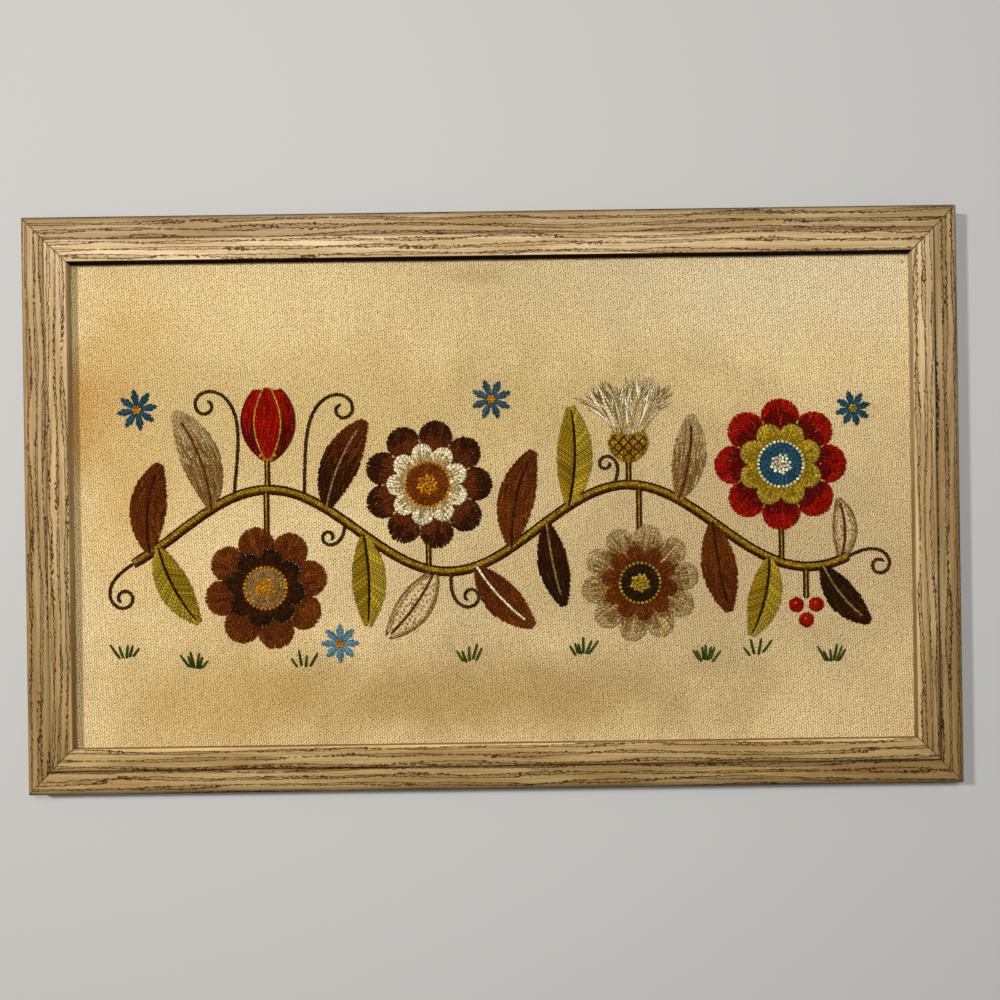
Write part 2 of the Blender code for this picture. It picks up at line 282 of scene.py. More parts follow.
@dataclass(frozen=True)
class OakFoil:
    """A printed oak grain over the moulding. It reads a UV map in metres: along, across.

    A pair is the fineness of a noise: its features to the metre along the rail and across it.
    """

    light: str = "DAC29A"
    warm: str = "BFA27A"
    pink: str = "B49672"
    olive: str = "9A7F50"
    grain: str = "401C00"
    amber: str = "A87430"
    # Laid over the foil as painted shade as well as soiling: in the step, on the outer edge and on
    # the lip's face, a painted shadow on the top rail's, and along the cuts.
    shade_and_dirt: str = "1A0901"
    varnish: str = "FFFAE1"
    ring_pitch: float = 5.6 * MM
    ring_fill: float = 0.50
    ring_drift: float = 1.7
    ring_wave: float = 1.25
    drift: Fine = (7.0, 75.0)
    cells: Fine = (300.0, 480.0)
    levels: Fine = (20.0, 190.0)
    breaks: Fine = (240.0, 900.0)
    pores: Fine = (260.0, 2600.0)
    streaks: Fine = (26.0, 1100.0)
    patches: Fine = (9.0, 130.0)
    rubs: Fine = (60.0, 500.0)
    pressed: float = 0.13 * MM

    def rings(self, s: Shader) -> tuple:
        """The porous rings of the oak: narrow bands along the rail, each with a wavy outline.

        A band's profile is the distance from its middle, from 0 there to 1 halfway to the next. A
        noise drawn out along the grain is added to it. The outline lies where the sum crosses a
        level that drifts, so that a band is two wavy lines, which meet where it closes.

        Args:
            s: the shader that is being built.

        Returns:
            The darkness of the outlines and the share of the bands' insides, from 0 to 1.
        """
        turn = s.calc("DIVIDE", s.flat()[1], self.ring_pitch)
        turn = s.plus(turn, s.times(s.streak(self.drift, 1.0), self.ring_drift))
        far = s.times(s.calc("ABSOLUTE", s.minus(s.calc("FRACT", turn), 0.5)), 2.0)
        wave = s.times(s.minus(s.streak(self.cells, 3.0, 0.62), 0.5), self.ring_wave)
        level = s.ramp(s.streak(self.levels, 1.0), 0.32, 0.68, 0.0, self.ring_fill)
        gap = s.minus(s.plus(far, wave), level)
        line = s.ramp(s.calc("ABSOLUTE", gap), 0.04, 0.17, 1.0, 0.0)
        unbroken = s.ramp(s.streak(self.breaks), 0.25, 0.45, 0.55, 1.0)
        return s.times(line, unbroken), s.ramp(gap, -0.12, 0.0, 1.0, 0.0)

    def lit_and_aged(self, s: Shader, ground: object) -> object:
        """Dulls and yellows a colour by the rail's pale and yellowed values.

        Args:
            s: the shader that is being built.
            ground: the foil's colour when new.

        Returns:
            ground * (p, p^1.1, p^1.3) for p = pale, with the varnish's tint laid over it. Pale
        paints light and shade as well as fading.
        """
        pale = s.attribute("pale")
        dull = s.join(pale, s.calc("POWER", pale, 1.1), s.calc("POWER", pale, 1.3))
        ground = s.mix(1.0, ground, dull, "MULTIPLY")
        return s.mix(s.attribute("yellowed"), ground, self.varnish, "MULTIPLY")

    def material(self) -> bpy.types.Material:
        """Builds the material.

        Returns:
            A tan ground in patches and fine streaks, with dark ring lines and short pores pressed
            into it, darker along the cuts, amber where an edge is rubbed, painted shade as well as
            soiling in the step, on the outer edge and on the lip, and painted light and shade rail
            by rail.
        """
        s = Shader("oak_foil", roughness=0.6)
        s.surface.inputs["Specular IOR Level"].default_value = 0.01
        lines, inside = self.rings(s)
        pores = s.ramp(s.streak(self.pores), 0.54, 0.70)
        pores = s.times(pores, s.plus(0.20, s.times(inside, 0.6)))
        streaks = s.streak(self.streaks, 3.0, 0.65)
        ground = s.mix(s.ramp(s.streak(self.patches), 0.36, 0.62), self.warm, self.light)
        ground = s.mix(s.times(inside, 0.60), ground, self.pink)
        ground = s.mix(s.ramp(streaks, 0.44, 0.70, 0.0, 0.75), ground, self.olive)
        worn = s.times(s.attribute("rubbed"), s.ramp(s.streak(self.rubs, 3.0, 0.6), 0.40, 0.62))
        ground = s.mix(worn, ground, self.amber)
        shade = s.calc("MAXIMUM", s.times(lines, 0.96), pores)
        shade = s.times(shade, s.minus(1.0, s.times(worn, 0.5)))
        shade = s.times(shade, s.minus(1.0, s.attribute("plain")))
        # Each rail's pale values paint light and shade as well as fading.
        ground = self.lit_and_aged(s, s.mix(shade, ground, self.grain))
        # Painted shade as well as soiling: the dark colour laid over by the mark.
        s.colour(s.mix(s.attribute("shade_and_grime"), ground, self.shade_and_dirt))
        s.feed(s.surface.inputs["Roughness"], s.ramp(shade, 0.0, 1.0, 0.55, 0.75))
        s.relief(s.minus(s.times(streaks, 0.12), shade), self.pressed)
        return s.material


@dataclass(frozen=True)
class RawPine:
    """The bare softwood of the rails' backs, rebates and cut ends. Its UV map is the foil's."""

    pale: str = "D8BC8E"
    late: str = "B78B55"
    brown: str = "8A6236"
    ring_turn: float = 1900.0
    ring_drift: float = 26.0
    drift: Fine = (5.0, 60.0)
    fibres: Fine = (70.0, 2600.0)
    sawn: float = 0.12 * MM

    def material(self) -> bpy.types.Material:
        """Builds the material.

        Returns:
            Straight growth rings along the rail, with a sawn surface.
        """
        s = Shader("raw_pine", roughness=0.75)
        drift = s.times(s.streak(self.drift), self.ring_drift)
        rings = s.calc("SINE", s.plus(s.times(s.flat()[1], self.ring_turn), drift))
        fibre = s.streak(self.fibres, 3.0)
        ground = s.mix(s.times(s.ramp(rings, 0.1, 1.0), 0.7), self.pale, self.late)
        s.colour(s.mix(s.ramp(fibre, 0.45, 0.75, 0.0, 0.4), ground, self.brown))
        s.relief(fibre, self.sawn)
        return s.material


@dataclass(frozen=True)
class Hardboard:
    """Brown pressed board with the mesh of the press on its back."""

    pale: str = "7A5532"
    dark: str = "4E331C"
    tan: str = "94703F"
    mesh_pitch: float = 1.6 * MM
    fibre: float = 420.0
    patch: float = 18.0
    pressed: float = 0.10 * MM

    def material(self) -> bpy.types.Material:
        """Builds the material.

        Returns:
            Mottled fibre, with the woven relief of the press's screen: sin x sin y.
        """
        s = Shader("hardboard", roughness=0.72)
        mottle = s.cloud(self.fibre, 4.0, 0.7)
        ground = s.mix(s.ramp(mottle, 0.35, 0.68), self.dark, self.pale)
        ground = s.mix(s.ramp(s.cloud(self.patch), 0.4, 0.7, 0.0, 0.35), ground, self.tan)
        turn = 2 * math.pi / self.mesh_pitch
        x, y, _ = s.split(s.place("Object", turn, turn, turn))
        grid = s.times(s.calc("SINE", x), s.calc("SINE", y))
        s.colour(s.mix(s.ramp(grid, 0.2, 1.0, 0.0, 0.35), ground, self.dark))
        s.relief(s.minus(s.times(mottle, 0.5), grid), self.pressed)
        return s.material


@dataclass(frozen=True)
class StainAndShadow:
    """A soft discoloured place on the cloth, in millimetres from the picture's middle.

    It covers strength of the cloth's colour at its middle, and through of that on the back.
    Most are soiling; some are painted shadows, and some also paint part of the light's fall.
    """

    x: float
    y: float
    wide: float
    high: float
    strength: float
    tint: str
    through: float = 0.55


@dataclass(frozen=True)
class Twill:
    """Coarse cotton twill. Its UV map is the flat cloth in metres.

    The shares are the parts that the waves have in the weave's height. The soiling and the
    painted shadows show through below back_height and in full above front_height.
    """

    light: str = "E7D19B"
    deep: str = "CBAC70"
    dull: str = "D8B87C"
    # Painted shade in the weave's low places.
    pit_shade: str = "866A38"
    end_pitch: float = 1.658 * MM
    end_slant: float = 24.0 * MM
    pick_pitch: float = 1.153 * MM
    over_share: float = 0.62
    lean_share: float = 0.04
    ridge_share: float = 0.40
    sway: Fine = (300.0, 300.0)
    uneven: Fine = (620.0, 760.0)
    end_slubs: Fine = (575.0, 26.0)
    pick_slubs: Fine = (26.0, 909.0)
    stain_and_shadow_edge: float = 26.0
    clouds: float = 9.0
    nap: float = 2600.0
    woven: float = 0.28 * MM
    back_height: float = 6.0 * MM
    front_height: float = 8.5 * MM
    stains_and_shadows: tuple[StainAndShadow, ...] = (
        # Real soiling, which also paints part of the light's fall across the cloth, darker towards
        # the bottom.
        StainAndShadow(223, 172, 275, 77, 0.37, "E3DABD"),
        StainAndShadow(-253, 48, 45, 137, 0.56, "C99E3B"),
        StainAndShadow(-12, -137, 243, 42, 0.76, "A9883F"),
        StainAndShadow(-101, 58, 356, 74, 0.99, "CDB376"),
        StainAndShadow(-304, 69, 54, 62, 0.63, "BC8100"),
        StainAndShadow(-198, -139, 108, 70, 0.59, "BF9D53"),
        StainAndShadow(146, -43, 316, 136, 0.57, "AC9469"),
        StainAndShadow(34, 214, 198, 166, 0.22, "6D5C00"),
        StainAndShadow(-9, 160, 26, 9, 0.25, "8C6A3C"),
        # Painted shadow: a dark line on the cloth under the top rail's lip.
        StainAndShadow(0, 172.4, 3000, 2.4, 0.90, "3A2208", 0.0),
        StainAndShadow(294, 166, 1.6, 1.4, 0.80, "3A2A18", 0.0),
    )

    def stained_and_shaded(self, s: Shader, ground: object) -> object:
        """Lays the stains over a colour.

        Each is an ellipse that fades outwards: its strength falls from the middle to a distance of
        1.15 half sizes, with a ragged edge. The back shows through of it. Some are painted shadows.

        Args:
            s: the shader that is being built.
            ground: the cloth's own colour.

        Returns:
            The stained colour.
        """
        x, y, z = s.split(s.place("Object", 1.0, 1.0, 1.0))
        front = s.ramp(z, self.back_height, self.front_height)
        ragged = s.minus(s.cloud(self.stain_and_shadow_edge, 3.0, 0.6), 0.5)
        for stain_and_shadow in self.stains_and_shadows:
            off_x = s.calc("DIVIDE", s.minus(x, stain_and_shadow.x * MM), stain_and_shadow.wide * MM)
            off_y = s.calc("DIVIDE", s.minus(y, stain_and_shadow.y * MM), stain_and_shadow.high * MM)
            far = s.calc("SQRT", s.plus(s.times(off_x, off_x), s.times(off_y, off_y)))
            amount = s.ramp(s.plus(far, ragged), 0.15, 1.15, stain_and_shadow.strength, 0.0)
            shown = s.plus(s.times(front, 1.0 - stain_and_shadow.through), stain_and_shadow.through)
            ground = s.mix(s.times(amount, shown), ground, stain_and_shadow.tint)
        return ground

    def weave(self, s: Shader) -> bpy.types.NodeSocket:
        """The height of the weave.

        A warp end stands proud where it floats over a pick and sinks under the next, and its
        neighbours do so half a repeat later: cos(pi x / end) cos(pi y / pick). Leaning floats add
        the diagonal cos(pi (y / pick - x / end)) and each end its own ridge cos(2 pi x / end). The
        ends lean a little, and a noise moves the yarns to and fro.

        Args:
            s: the shader that is being built.

        Returns:
            The height, from about -1 in the pits to 1 on the floats.
        """
        u, v = s.flat()
        sway = s.times(s.minus(s.streak(self.sway), 0.5), 3.0)
        end = s.plus(s.times(u, math.pi / self.end_pitch), sway)
        end = s.plus(end, s.times(v, math.pi / self.end_slant))
        pick = s.minus(s.times(v, math.pi / self.pick_pitch), sway)
        over = s.times(s.calc("COSINE", end), s.calc("COSINE", pick))
        lean = s.calc("COSINE", s.minus(pick, end))
        ridge = s.calc("COSINE", s.times(end, 2.0))
        height = s.plus(s.times(over, self.over_share), s.times(lean, self.lean_share))
        return s.plus(height, s.times(ridge, self.ridge_share))

    def material(self) -> bpy.types.Material:
        """Builds the material.

        Returns:
            The woven relief with painted shade in its pits, uneven yarns, old soiling and painted
        shadows.
        """
        s = Shader("cotton_twill", roughness=0.92, sheen=0.15)
        uneven = s.minus(s.streak(self.uneven, 2.0, 0.7), 0.5)
        height = s.plus(self.weave(s), s.times(uneven, 2.0))
        slubs = s.times(s.plus(s.streak(self.end_slubs), s.streak(self.pick_slubs)), 0.5)
        ground = s.mix(s.ramp(slubs, 0.30, 0.70, 0.0, 0.55), self.light, self.deep)
        clouds = s.cloud(self.clouds, 3.0)
        ground = s.mix(s.ramp(clouds, 0.40, 0.70, 0.0, 0.30), ground, self.dull)
        ground = self.stained_and_shaded(s, ground)
        # Painted shade: the low places of the weave are darkened by multiplying with a dark colour.
        s.colour(s.mix(s.ramp(height, -0.90, 0.30, 1.0, 0.0), ground, self.pit_shade, "MULTIPLY"))
        s.relief(s.plus(height, s.times(s.cloud(self.nap, 1.0), 0.25)), self.woven)
        return s.material


@dataclass(frozen=True)
class Wool:
    """Two-ply crewel wool in one dye. UV is (round the strand, along it in metres)."""

    dye: Dye
    twist_pitch: float = 2.7 * MM
    plies: int = 2
    specular: float = 0.04
    pale_share: float = 1.8
    deep_share: float = 0.30
    bloom: tuple[float, float, float] = (0.010, 0.006, 0.002)
    vat: float = 90.0
    fuzz: float = 1500.0
    depth: float = 0.16 * MM

    def material(self) -> bpy.types.Material:
        """Builds the material.

        Each strand has its own shade, stored as tone. The plies' twist is a wave on the sum of the
        turn round the strand and the way along it. The deep colour paints shade in its grooves and
        on the strand's flanks, and pale fuzz lies over it.

        Returns:
            The matt, faintly hairy wool.
        """
        s = Shader("wool_" + self.dye.name.lower(), roughness=0.95, sheen=0.015)
        base = linear(self.dye.value)
        bright = (min(1.0, c * self.pale_share + bloom) for c, bloom in zip(base, self.bloom))
        pale = (*bright, 1.0)
        deep = (*(c * self.deep_share for c in base[:3]), 1.0)
        s.surface.inputs["Sheen Tint"].default_value = pale
        s.surface.inputs["Specular IOR Level"].default_value = self.specular
        shade = s.plus(s.times(s.attribute("tone"), 0.95), s.times(s.cloud(self.vat), 0.3))
        colour = s.mix(s.ramp(shade, -0.15, 0.60), deep, base)
        colour = s.mix(s.ramp(shade, 0.62, 1.15), colour, pale)
        around, along = s.flat()
        turn = s.plus(s.times(along, 1.0 / self.twist_pitch), around)
        wave = s.calc("SINE", s.times(turn, math.pi * self.plies))
        fuzz = s.cloud(self.fuzz, 2.0, 0.7)
        # Painted shade in the twist's grooves.
        colour = s.mix(s.ramp(wave, -1.0, 0.2, 0.85, 0.0), colour, deep)
        # Painted shade on the strand's flanks, where neighbouring strands meet.
        flank_shade = s.calc("ABSOLUTE", s.minus(around, 0.4))
        colour = s.mix(s.ramp(flank_shade, 0.08, 0.34, 0.0, 0.85), colour, deep)
        s.colour(s.mix(s.ramp(fuzz, 0.50, 0.78, 0.0, 0.50), colour, pale))
        s.relief(s.plus(s.times(wave, 0.5), fuzz), self.depth)
        return s.material


@dataclass(frozen=True)
class PaleFloor:
    """The plain surface that the picture lies on."""

    shade: str = "ACABA8"

    def material(self) -> bpy.types.Material:
        """Builds the material.

        Returns:
            One plain, matt colour.
        """
        s = Shader("pale_floor", roughness=0.9)
        s.colour(self.shade)
        return s.material


# ---------------------------------------------------------------------------------------------
# Meshes from arrays
# ---------------------------------------------------------------------------------------------


def linked(name: str, data: bpy.types.ID) -> bpy.types.Object:
    """Puts data into the scene.

    Args:
        name: the name of the object that holds it.
        data: a mesh, lamp or camera.

    Returns:
        The new object.
    """
    made = bpy.data.objects.new(name, data)
    bpy.context.scene.collection.objects.link(made)
    return made


def distances(path: np.ndarray) -> np.ndarray:
    """How far along its path each point lies: the running sum of the steps, from 0.

    Args:
        path: (..., k, 2) points.

    Returns:
        (..., k) distances.
    """
    steps = np.linalg.norm(np.diff(path, axis=-2), axis=-1)
    return np.concatenate([np.zeros_like(steps[..., :1]), np.cumsum(steps, -1)], -1)


def mesh_piece(
    name: str,
    points: np.ndarray,
    faces: np.ndarray,
    uv: np.ndarray | None = None,
    numbers: dict[str, np.ndarray] | None = None,
    slots: np.ndarray | None = None,
    sharp: float = 180.0,
) -> bpy.types.Object:
    """Makes an object of four-cornered faces, where a face may repeat its last corner.

    Args:
        name: the piece's name.
        points: (n, 3) places.
        faces: (f, 4) point numbers. A triangle has its last corner twice.
        uv: (f, 4, 2) map of each face's corners.
        numbers: named values stored on the points.
        slots: (f,) material numbers.
        sharp: the angle in degrees above which an edge is shaded sharp.

    Returns:
        The linked object, shaded smooth.
    """
    mesh = bpy.data.meshes.new(name)
    corners = np.where(faces[:, 3] == faces[:, 2], 3, 4)
    keep = np.ones(faces.shape, bool)
    keep[:, 3] = corners == 4
    starts = np.concatenate([[0], np.cumsum(corners)[:-1]])
    mesh.vertices.add(len(points))
    mesh.vertices.foreach_set("co", np.ascontiguousarray(points, np.float32).ravel())
    mesh.loops.add(int(corners.sum()))
    mesh.loops.foreach_set("vertex_index", np.ascontiguousarray(faces[keep], np.int32))
    mesh.polygons.add(len(faces))
    mesh.polygons.foreach_set("loop_start", starts.astype(np.int32))
    mesh.polygons.foreach_set("loop_total", corners.astype(np.int32))
    if slots is not None:
        mesh.polygons.foreach_set("material_index", slots.astype(np.int32))
    mesh.update(calc_edges=True)
    if uv is not None:
        layer = mesh.uv_layers.new(name="flat")
        layer.data.foreach_set("uv", np.ascontiguousarray(uv[keep], np.float32).ravel())
    for key, values in (numbers or {}).items():
        stored = mesh.attributes.new(key, "FLOAT", "POINT")
        stored.data.foreach_set("value", np.ascontiguousarray(values, np.float32))
    mesh.shade_smooth()
    if sharp < 180.0:
        mesh.set_sharp_from_angle(angle=math.radians(sharp))
    return linked(name, mesh)


def dress(piece: bpy.types.Object, slot: str, *materials: bpy.types.Material) -> None:
    """Gives a piece its materials and its body, and reports it.

    Args:
        piece: the finished object.
        slot: the record's material slot; not used.
        materials: the materials, in the order of the faces' material numbers.
    """
    for material in materials:
        piece.data.materials.append(material)
    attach(piece, BODY)
    log.info("%s: %d faces", piece.name, len(piece.data.polygons))


# ---------------------------------------------------------------------------------------------
# The frame
# ---------------------------------------------------------------------------------------------

Point = tuple[float, float]


def arc(centre: Point, radius: float, first: float, last: float, steps: int) -> np.ndarray:
    """Points of a circle's arc: centre + radius (cos, sin), angles in degrees."""
    turn = np.radians(np.linspace(first, last, steps + 1))
    return np.stack([centre[0] + radius * np.cos(turn), centre[1] + radius * np.sin(turn)], 1)


def bow(start: np.ndarray, pull: Point, end: Point, steps: int) -> np.ndarray:
    """Points of a quadratic curve from start to end that leans to pull, without its start.

    Its points are (1-t)^2 start + 2t(1-t) pull + t^2 end.
    """
    t = np.linspace(0.0, 1.0, steps + 1)[1:, None]
    return (1 - t) ** 2 * start + 2 * t * (1 - t) * np.asarray(pull) + t**2 * np.asarray(end)


def fade(distance: np.ndarray, reach: float, full: float) -> np.ndarray:
    """A share that falls with distance: full - distance / reach, kept between 0 and 1."""
    return np.clip(full - distance / reach, 0, 1)


@dataclass(frozen=True)
class LightAndAgeing:
    """How one rail's foil is lit and faded: 1 is as pale as new, the others run from 0 to 1.
    A pair holds the value at the rail's start and the value at its end. The pale values band
    and slope paint light and shade as well as fading, lighter or darker from rail to rail and
    along each rail. The darkening of the edge, the step and the lip's face paints shade as well
    as soiling, on the top rail's lip face a painted shadow. The lip's least pale is a painted
    highlight on its rounded edge, as well as a rubbed edge.
    """

    # band and slope: how pale, which paints light and shade as well as fading.
    band: tuple[float, float]
    slope: tuple[float, float]
    yellowed: tuple[float, float]
    # Painted shade, as well as soiling, on the rounded outer edge.
    edge_shade_and_grime: float
    edge_reach: float
    # Painted shade, as well as soiling, in the step.
    step_shade_and_grime: float
    # Painted shade, as well as soiling, on the lip's face: on the top rail a painted shadow.
    lip_shade_and_grime: float
    # A painted highlight on the lip's rounded edge, as well as a rubbed edge.
    lip_highlight_and_wear: float = 0.0
    rubbed: float = 0.0


@dataclass(frozen=True)
class Cut:
    """One length of moulding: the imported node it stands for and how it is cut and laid.

    It is turned by so many quarter turns about +Z, middle is the middle of its outer edge, and
    grain says where along the printed grain it was cut.
    """

    node: str
    length: float
    turn: int
    middle: Point
    grain: float
    age: LightAndAgeing


@dataclass
class Moulding:
    """The four mitred lengths of stepped moulding. Points are (in from the edge, height)."""

    edge_radius: float = 2.2 * MM
    edge_height: float = 14.6 * MM
    crest: Point = (6.0 * MM, 18.3 * MM)
    slope_end: Point = (15.5 * MM, 16.6 * MM)
    foot_pull: Point = (16.1 * MM, 16.0 * MM)
    step_foot: Point = (16.3 * MM, 16.0 * MM)
    step_pull: Point = (16.7 * MM, 16.3 * MM)
    step_face: Point = (16.9 * MM, 17.9 * MM)
    brow_pull: Point = (17.05 * MM, 18.7 * MM)
    step_top: Point = (17.7 * MM, 18.7 * MM)
    band_pull: Point = (23.6 * MM, 19.2 * MM)
    band_end: Point = (31.3 * MM, 18.0 * MM)
    lip_radius: float = 0.9 * MM
    lip_width: float = 1.1 * MM
    lip_face: float = 0.35 * MM
    rebate_width: float = 7.3 * MM
    rebate_floor: float = 9.8 * MM
    mitre_gap: float = 0.3 * MM
    cut_shade: float = 0.5 * MM
    cut_shade_and_grime: float = 0.85
    lip_bare: float = 0.85
    rub_middle: float = 3.3 * MM
    rows: int = 24

    # Bottom, right, top and left: band, slope and yellowed, where band and slope are painted light
    # and shade as well as fading, then the edge's painted shade and soiling and its reach, the
    # painted shade and soiling in the step and on the lip (a painted shadow on the top lip), how
    # pale the lip is at least, a painted highlight as well as a rubbed edge, and how rubbed the
    # edge is.
    LIGHT_AND_AGEING = (
        LightAndAgeing((0.58, 0.56), (0.59, 0.41), (1.0, 1.0), 0.62, 3.6 * MM, 0.82, 0.10, 0.90),
        LightAndAgeing((0.45, 0.92), (0.37, 0.54), (1.0, 0.1), 0.45, 1.6 * MM, 0.88, 0.20, 0.80),
        LightAndAgeing((0.70, 1.00), (0.56, 0.60), (0.35, 0.0), 0.80, 2.0 * MM, 0.35, 1.00),
        LightAndAgeing((0.90, 0.46), (0.62, 0.43), (0.1, 1.0), 0.45, 1.6 * MM, 0.45, 0.00, 0.72, 0.60),
    )

    def section(self, face_width: float) -> tuple[np.ndarray, int]:
        """The section of the moulding as (distance from the outer edge, height) points.

        Args:
            face_width: the width of the moulding's face.

        Returns:
            The points, anticlockwise from the back of the outer side, and how many of them have
            the foil on them.
        """
        line = arc((self.edge_radius, self.edge_height), self.edge_radius, 180, 112, 8)
        for pull, end, steps in (
            (self.crest, self.slope_end, 12),
            (self.foot_pull, self.step_foot, 3),
            (self.step_pull, self.step_face, 4),
            (self.brow_pull, self.step_top, 4),
            (self.band_pull, self.band_end, 9),
        ):
            line = np.concatenate([line, bow(line[-1], pull, end, steps)])
        centre = (face_width - self.lip_radius, self.band_end[1] - self.lip_radius)
        lip = arc(centre, self.lip_radius, 84, 0, 8)
        side = [(0.0, 0.0), (0.0, self.edge_height / 2)]
        foiled = np.concatenate([side, line, lip])
        inner = face_width - self.rebate_width
        rest = [(face_width, self.rebate_floor), (inner, self.rebate_floor), (inner, 0.0)]
        return np.concatenate([foiled, rest]), len(foiled) + 1

    def rail(self, cut: Cut, face_width: float) -> bpy.types.Object:
        """One side of the frame: the section carried along a line and cut to a mitre at both ends.

        A section point at distance y from the outer edge runs from -(length/2 - y) to length/2 - y.

        Args:
            cut: the length of moulding.
            face_width: the width of its face.

        Returns:
            The rail.
        """
        section, foiled = self.section(face_width)
        count = len(section)
        reach = cut.length / 2 - section[:, 0] - self.mitre_gap / 2 * math.sqrt(2)
        inset = np.array([0.0, self.cut_shade])
        left = -reach[None, :] + inset[:, None]
        right = reach[None, :] - inset[::-1, None]
        steps = np.linspace(0.0, 1.0, self.rows + 1)[1:-1, None]
        x = np.concatenate([left, left[-1] + steps * (right[0] - left[-1]), right])
        y = np.broadcast_to(section[:, 0], x.shape)
        z = np.broadcast_to(section[:, 1], x.shape)
        cos, sin = math.cos(cut.turn * math.pi / 2), math.sin(cut.turn * math.pi / 2)
        places = [cut.middle[0] + cos * x - sin * y, cut.middle[1] + sin * x + cos * y, z]
        across = distances(section)
        row, col = np.meshgrid(np.arange(len(x) - 1), np.arange(count), indexing="ij")
        nxt = (col + 1) % count
        far = np.where(nxt == 0, across[-1] + face_width - self.rebate_width, across[nxt])
        near = across[col]
        corners = ((row, col, near), (row, nxt, far), (row + 1, nxt, far), (row + 1, col, near))
        quads = np.stack([a * count + b for a, b, _ in corners], 2)
        maps = np.stack([np.stack([x[a, b] + cut.grain, way], 2) for a, b, way in corners], 2)
        faces, maps = [quads.reshape(-1, 4)], [maps.reshape(-1, 4, 2)]
        slots = [(col >= foiled - 1).astype(int).ravel()]
        for base, flip in ((0, False), ((len(x) - 1) * count, True)):
            cap, cap_map = self.end_faces(section, base, flip)
            faces.append(cap)
            maps.append(cap_map)
            slots.append(np.ones(len(cap), int))
        return mesh_piece(
            cut.node + "_moulding",
            np.stack(places, 2).reshape(-1, 3),
            np.concatenate(faces),
            np.concatenate(maps),
            self.marks(x, section, face_width, cut.age),
            np.concatenate(slots),
            sharp=38.0,
        )

    def marks(
        self, x: np.ndarray, section: np.ndarray, face_width: float, age: LightAndAgeing
    ) -> dict[str, np.ndarray]:
        """How pale, yellowed, grimy, rubbed and plain the foil is at each point of a rail.

        Args:
            x: (rows, points) the places along the rail.
            section: the section's points.
            face_width: the width of the rail's face.
            age: the rail's ageing.

        Returns:
            The five named values, one for each point. Pale paints light and shade as well as
            fading,
        and the darkening paints shade as well as soiling.
        """
        off, high = section[:, 0], section[:, 1]
        foot = self.step_foot[0]
        lip = (off > face_width - self.lip_width) & (high > self.rebate_floor - 0.1 * MM)
        face = lip & (off > face_width - self.lip_face)
        share = (x - x.min()) / (x.max() - x.min())
        pairs = (age.band, age.slope, age.yellowed)
        band, slope, yellowed = (start + (end - start) * share for start, end in pairs)
        # Painted light and shade as well as fading: lighter or darker from rail to rail and along
        # each.
        pale = np.where(off > foot - 0.2 * MM, band, slope)
        round_lip = lip & (off < face_width - 0.05 * MM)
        # A painted highlight, as well as a rubbed edge, on the lip's rounded edge.
        pale = np.where(round_lip, np.maximum(pale, age.lip_highlight_and_wear), pale)
        # Painted shade, as well as soiling, in the step.
        step = age.step_shade_and_grime * fade(np.abs(off - foot - 0.5 * MM), 1.3 * MM, 1.2)
        # Painted shade, as well as soiling, on the rounded outer edge.
        edge = age.edge_shade_and_grime * fade(off, age.edge_reach, 1.3)
        # Painted shade, as well as soiling, on the lip's face: on the top rail a painted shadow.
        down = np.where(face, age.lip_shade_and_grime, 0.0)
        shade_and_grime = np.broadcast_to(np.max([step, edge, down], axis=0), x.shape).copy()
        shade_and_grime[[0, -1]] = np.maximum(shade_and_grime[[0, -1]], self.cut_shade_and_grime)
        worn = age.rubbed * fade(np.abs(off - self.rub_middle), 1.5 * MM, 1.4)
        plain = np.where(face, self.lip_bare, 0.0)
        marks = {"pale": pale, "shade_and_grime": shade_and_grime, "rubbed": worn, "yellowed": yellowed, "plain": plain}
        return {name: np.broadcast_to(value, x.shape).ravel() for name, value in marks.items()}

    @staticmethod
    def end_faces(section: np.ndarray, base: int, flip: bool) -> tuple[np.ndarray, np.ndarray]:
        """The cut end: triangles that fan out from the back's outer and inner corners.

        Args:
            section: the section's points.
            base: the number of the end's first point.
            flip: whether the faces' corners run the other way.

        Returns:
            The faces and their map.
        """
        corner, last = len(section) - 2, len(section) - 1
        number = np.arange(corner)
        past = section[:corner, 0] > section[corner, 0]
        outer = np.append(number[~past], corner)
        inner = np.concatenate([number[~past][-1:], number[past]])
        hub = np.concatenate([np.full(len(outer) - 1, last), np.full(len(inner) - 1, corner)])
        a = np.concatenate([outer[:-1], inner[:-1]])
        b = np.concatenate([outer[1:], inner[1:]])
        found = np.column_stack([b, a, hub, hub] if flip else [a, b, hub, hub])
        return found + base, section[found][:, :, ::-1]

    def build(self) -> list[bpy.types.Object]:
        """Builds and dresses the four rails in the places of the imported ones.

        Returns:
            The rails.
        """
        foil, pine = OakFoil().material(), RawPine().material()
        low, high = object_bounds()
        width, height = high.x - low.x, high.y - low.y
        plan = (
            Cut("rail_bottom", width, 0, (0.0, low.y), 0.00, self.LIGHT_AND_AGEING[0]),
            Cut("rail_right", height, 1, (high.x, 0.0), 1.37, self.LIGHT_AND_AGEING[1]),
            Cut("rail_top", width, 2, (0.0, high.y), 2.71, self.LIGHT_AND_AGEING[2]),
            Cut("rail_left", height, 3, (low.x, 0.0), 4.13, self.LIGHT_AND_AGEING[3]),
        )
        made = []
        for cut in plan:
            corner_low, corner_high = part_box(cut.node)
            face_width = min(corner_high.x - corner_low.x, corner_high.y - corner_low.y)
            piece = self.rail(cut, face_width)
            dress(piece, "oak_moulding", foil, pine)
            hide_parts(cut.node)
            made.append(piece)
        return made


# ---------------------------------------------------------------------------------------------
# The cloth
# ---------------------------------------------------------------------------------------------


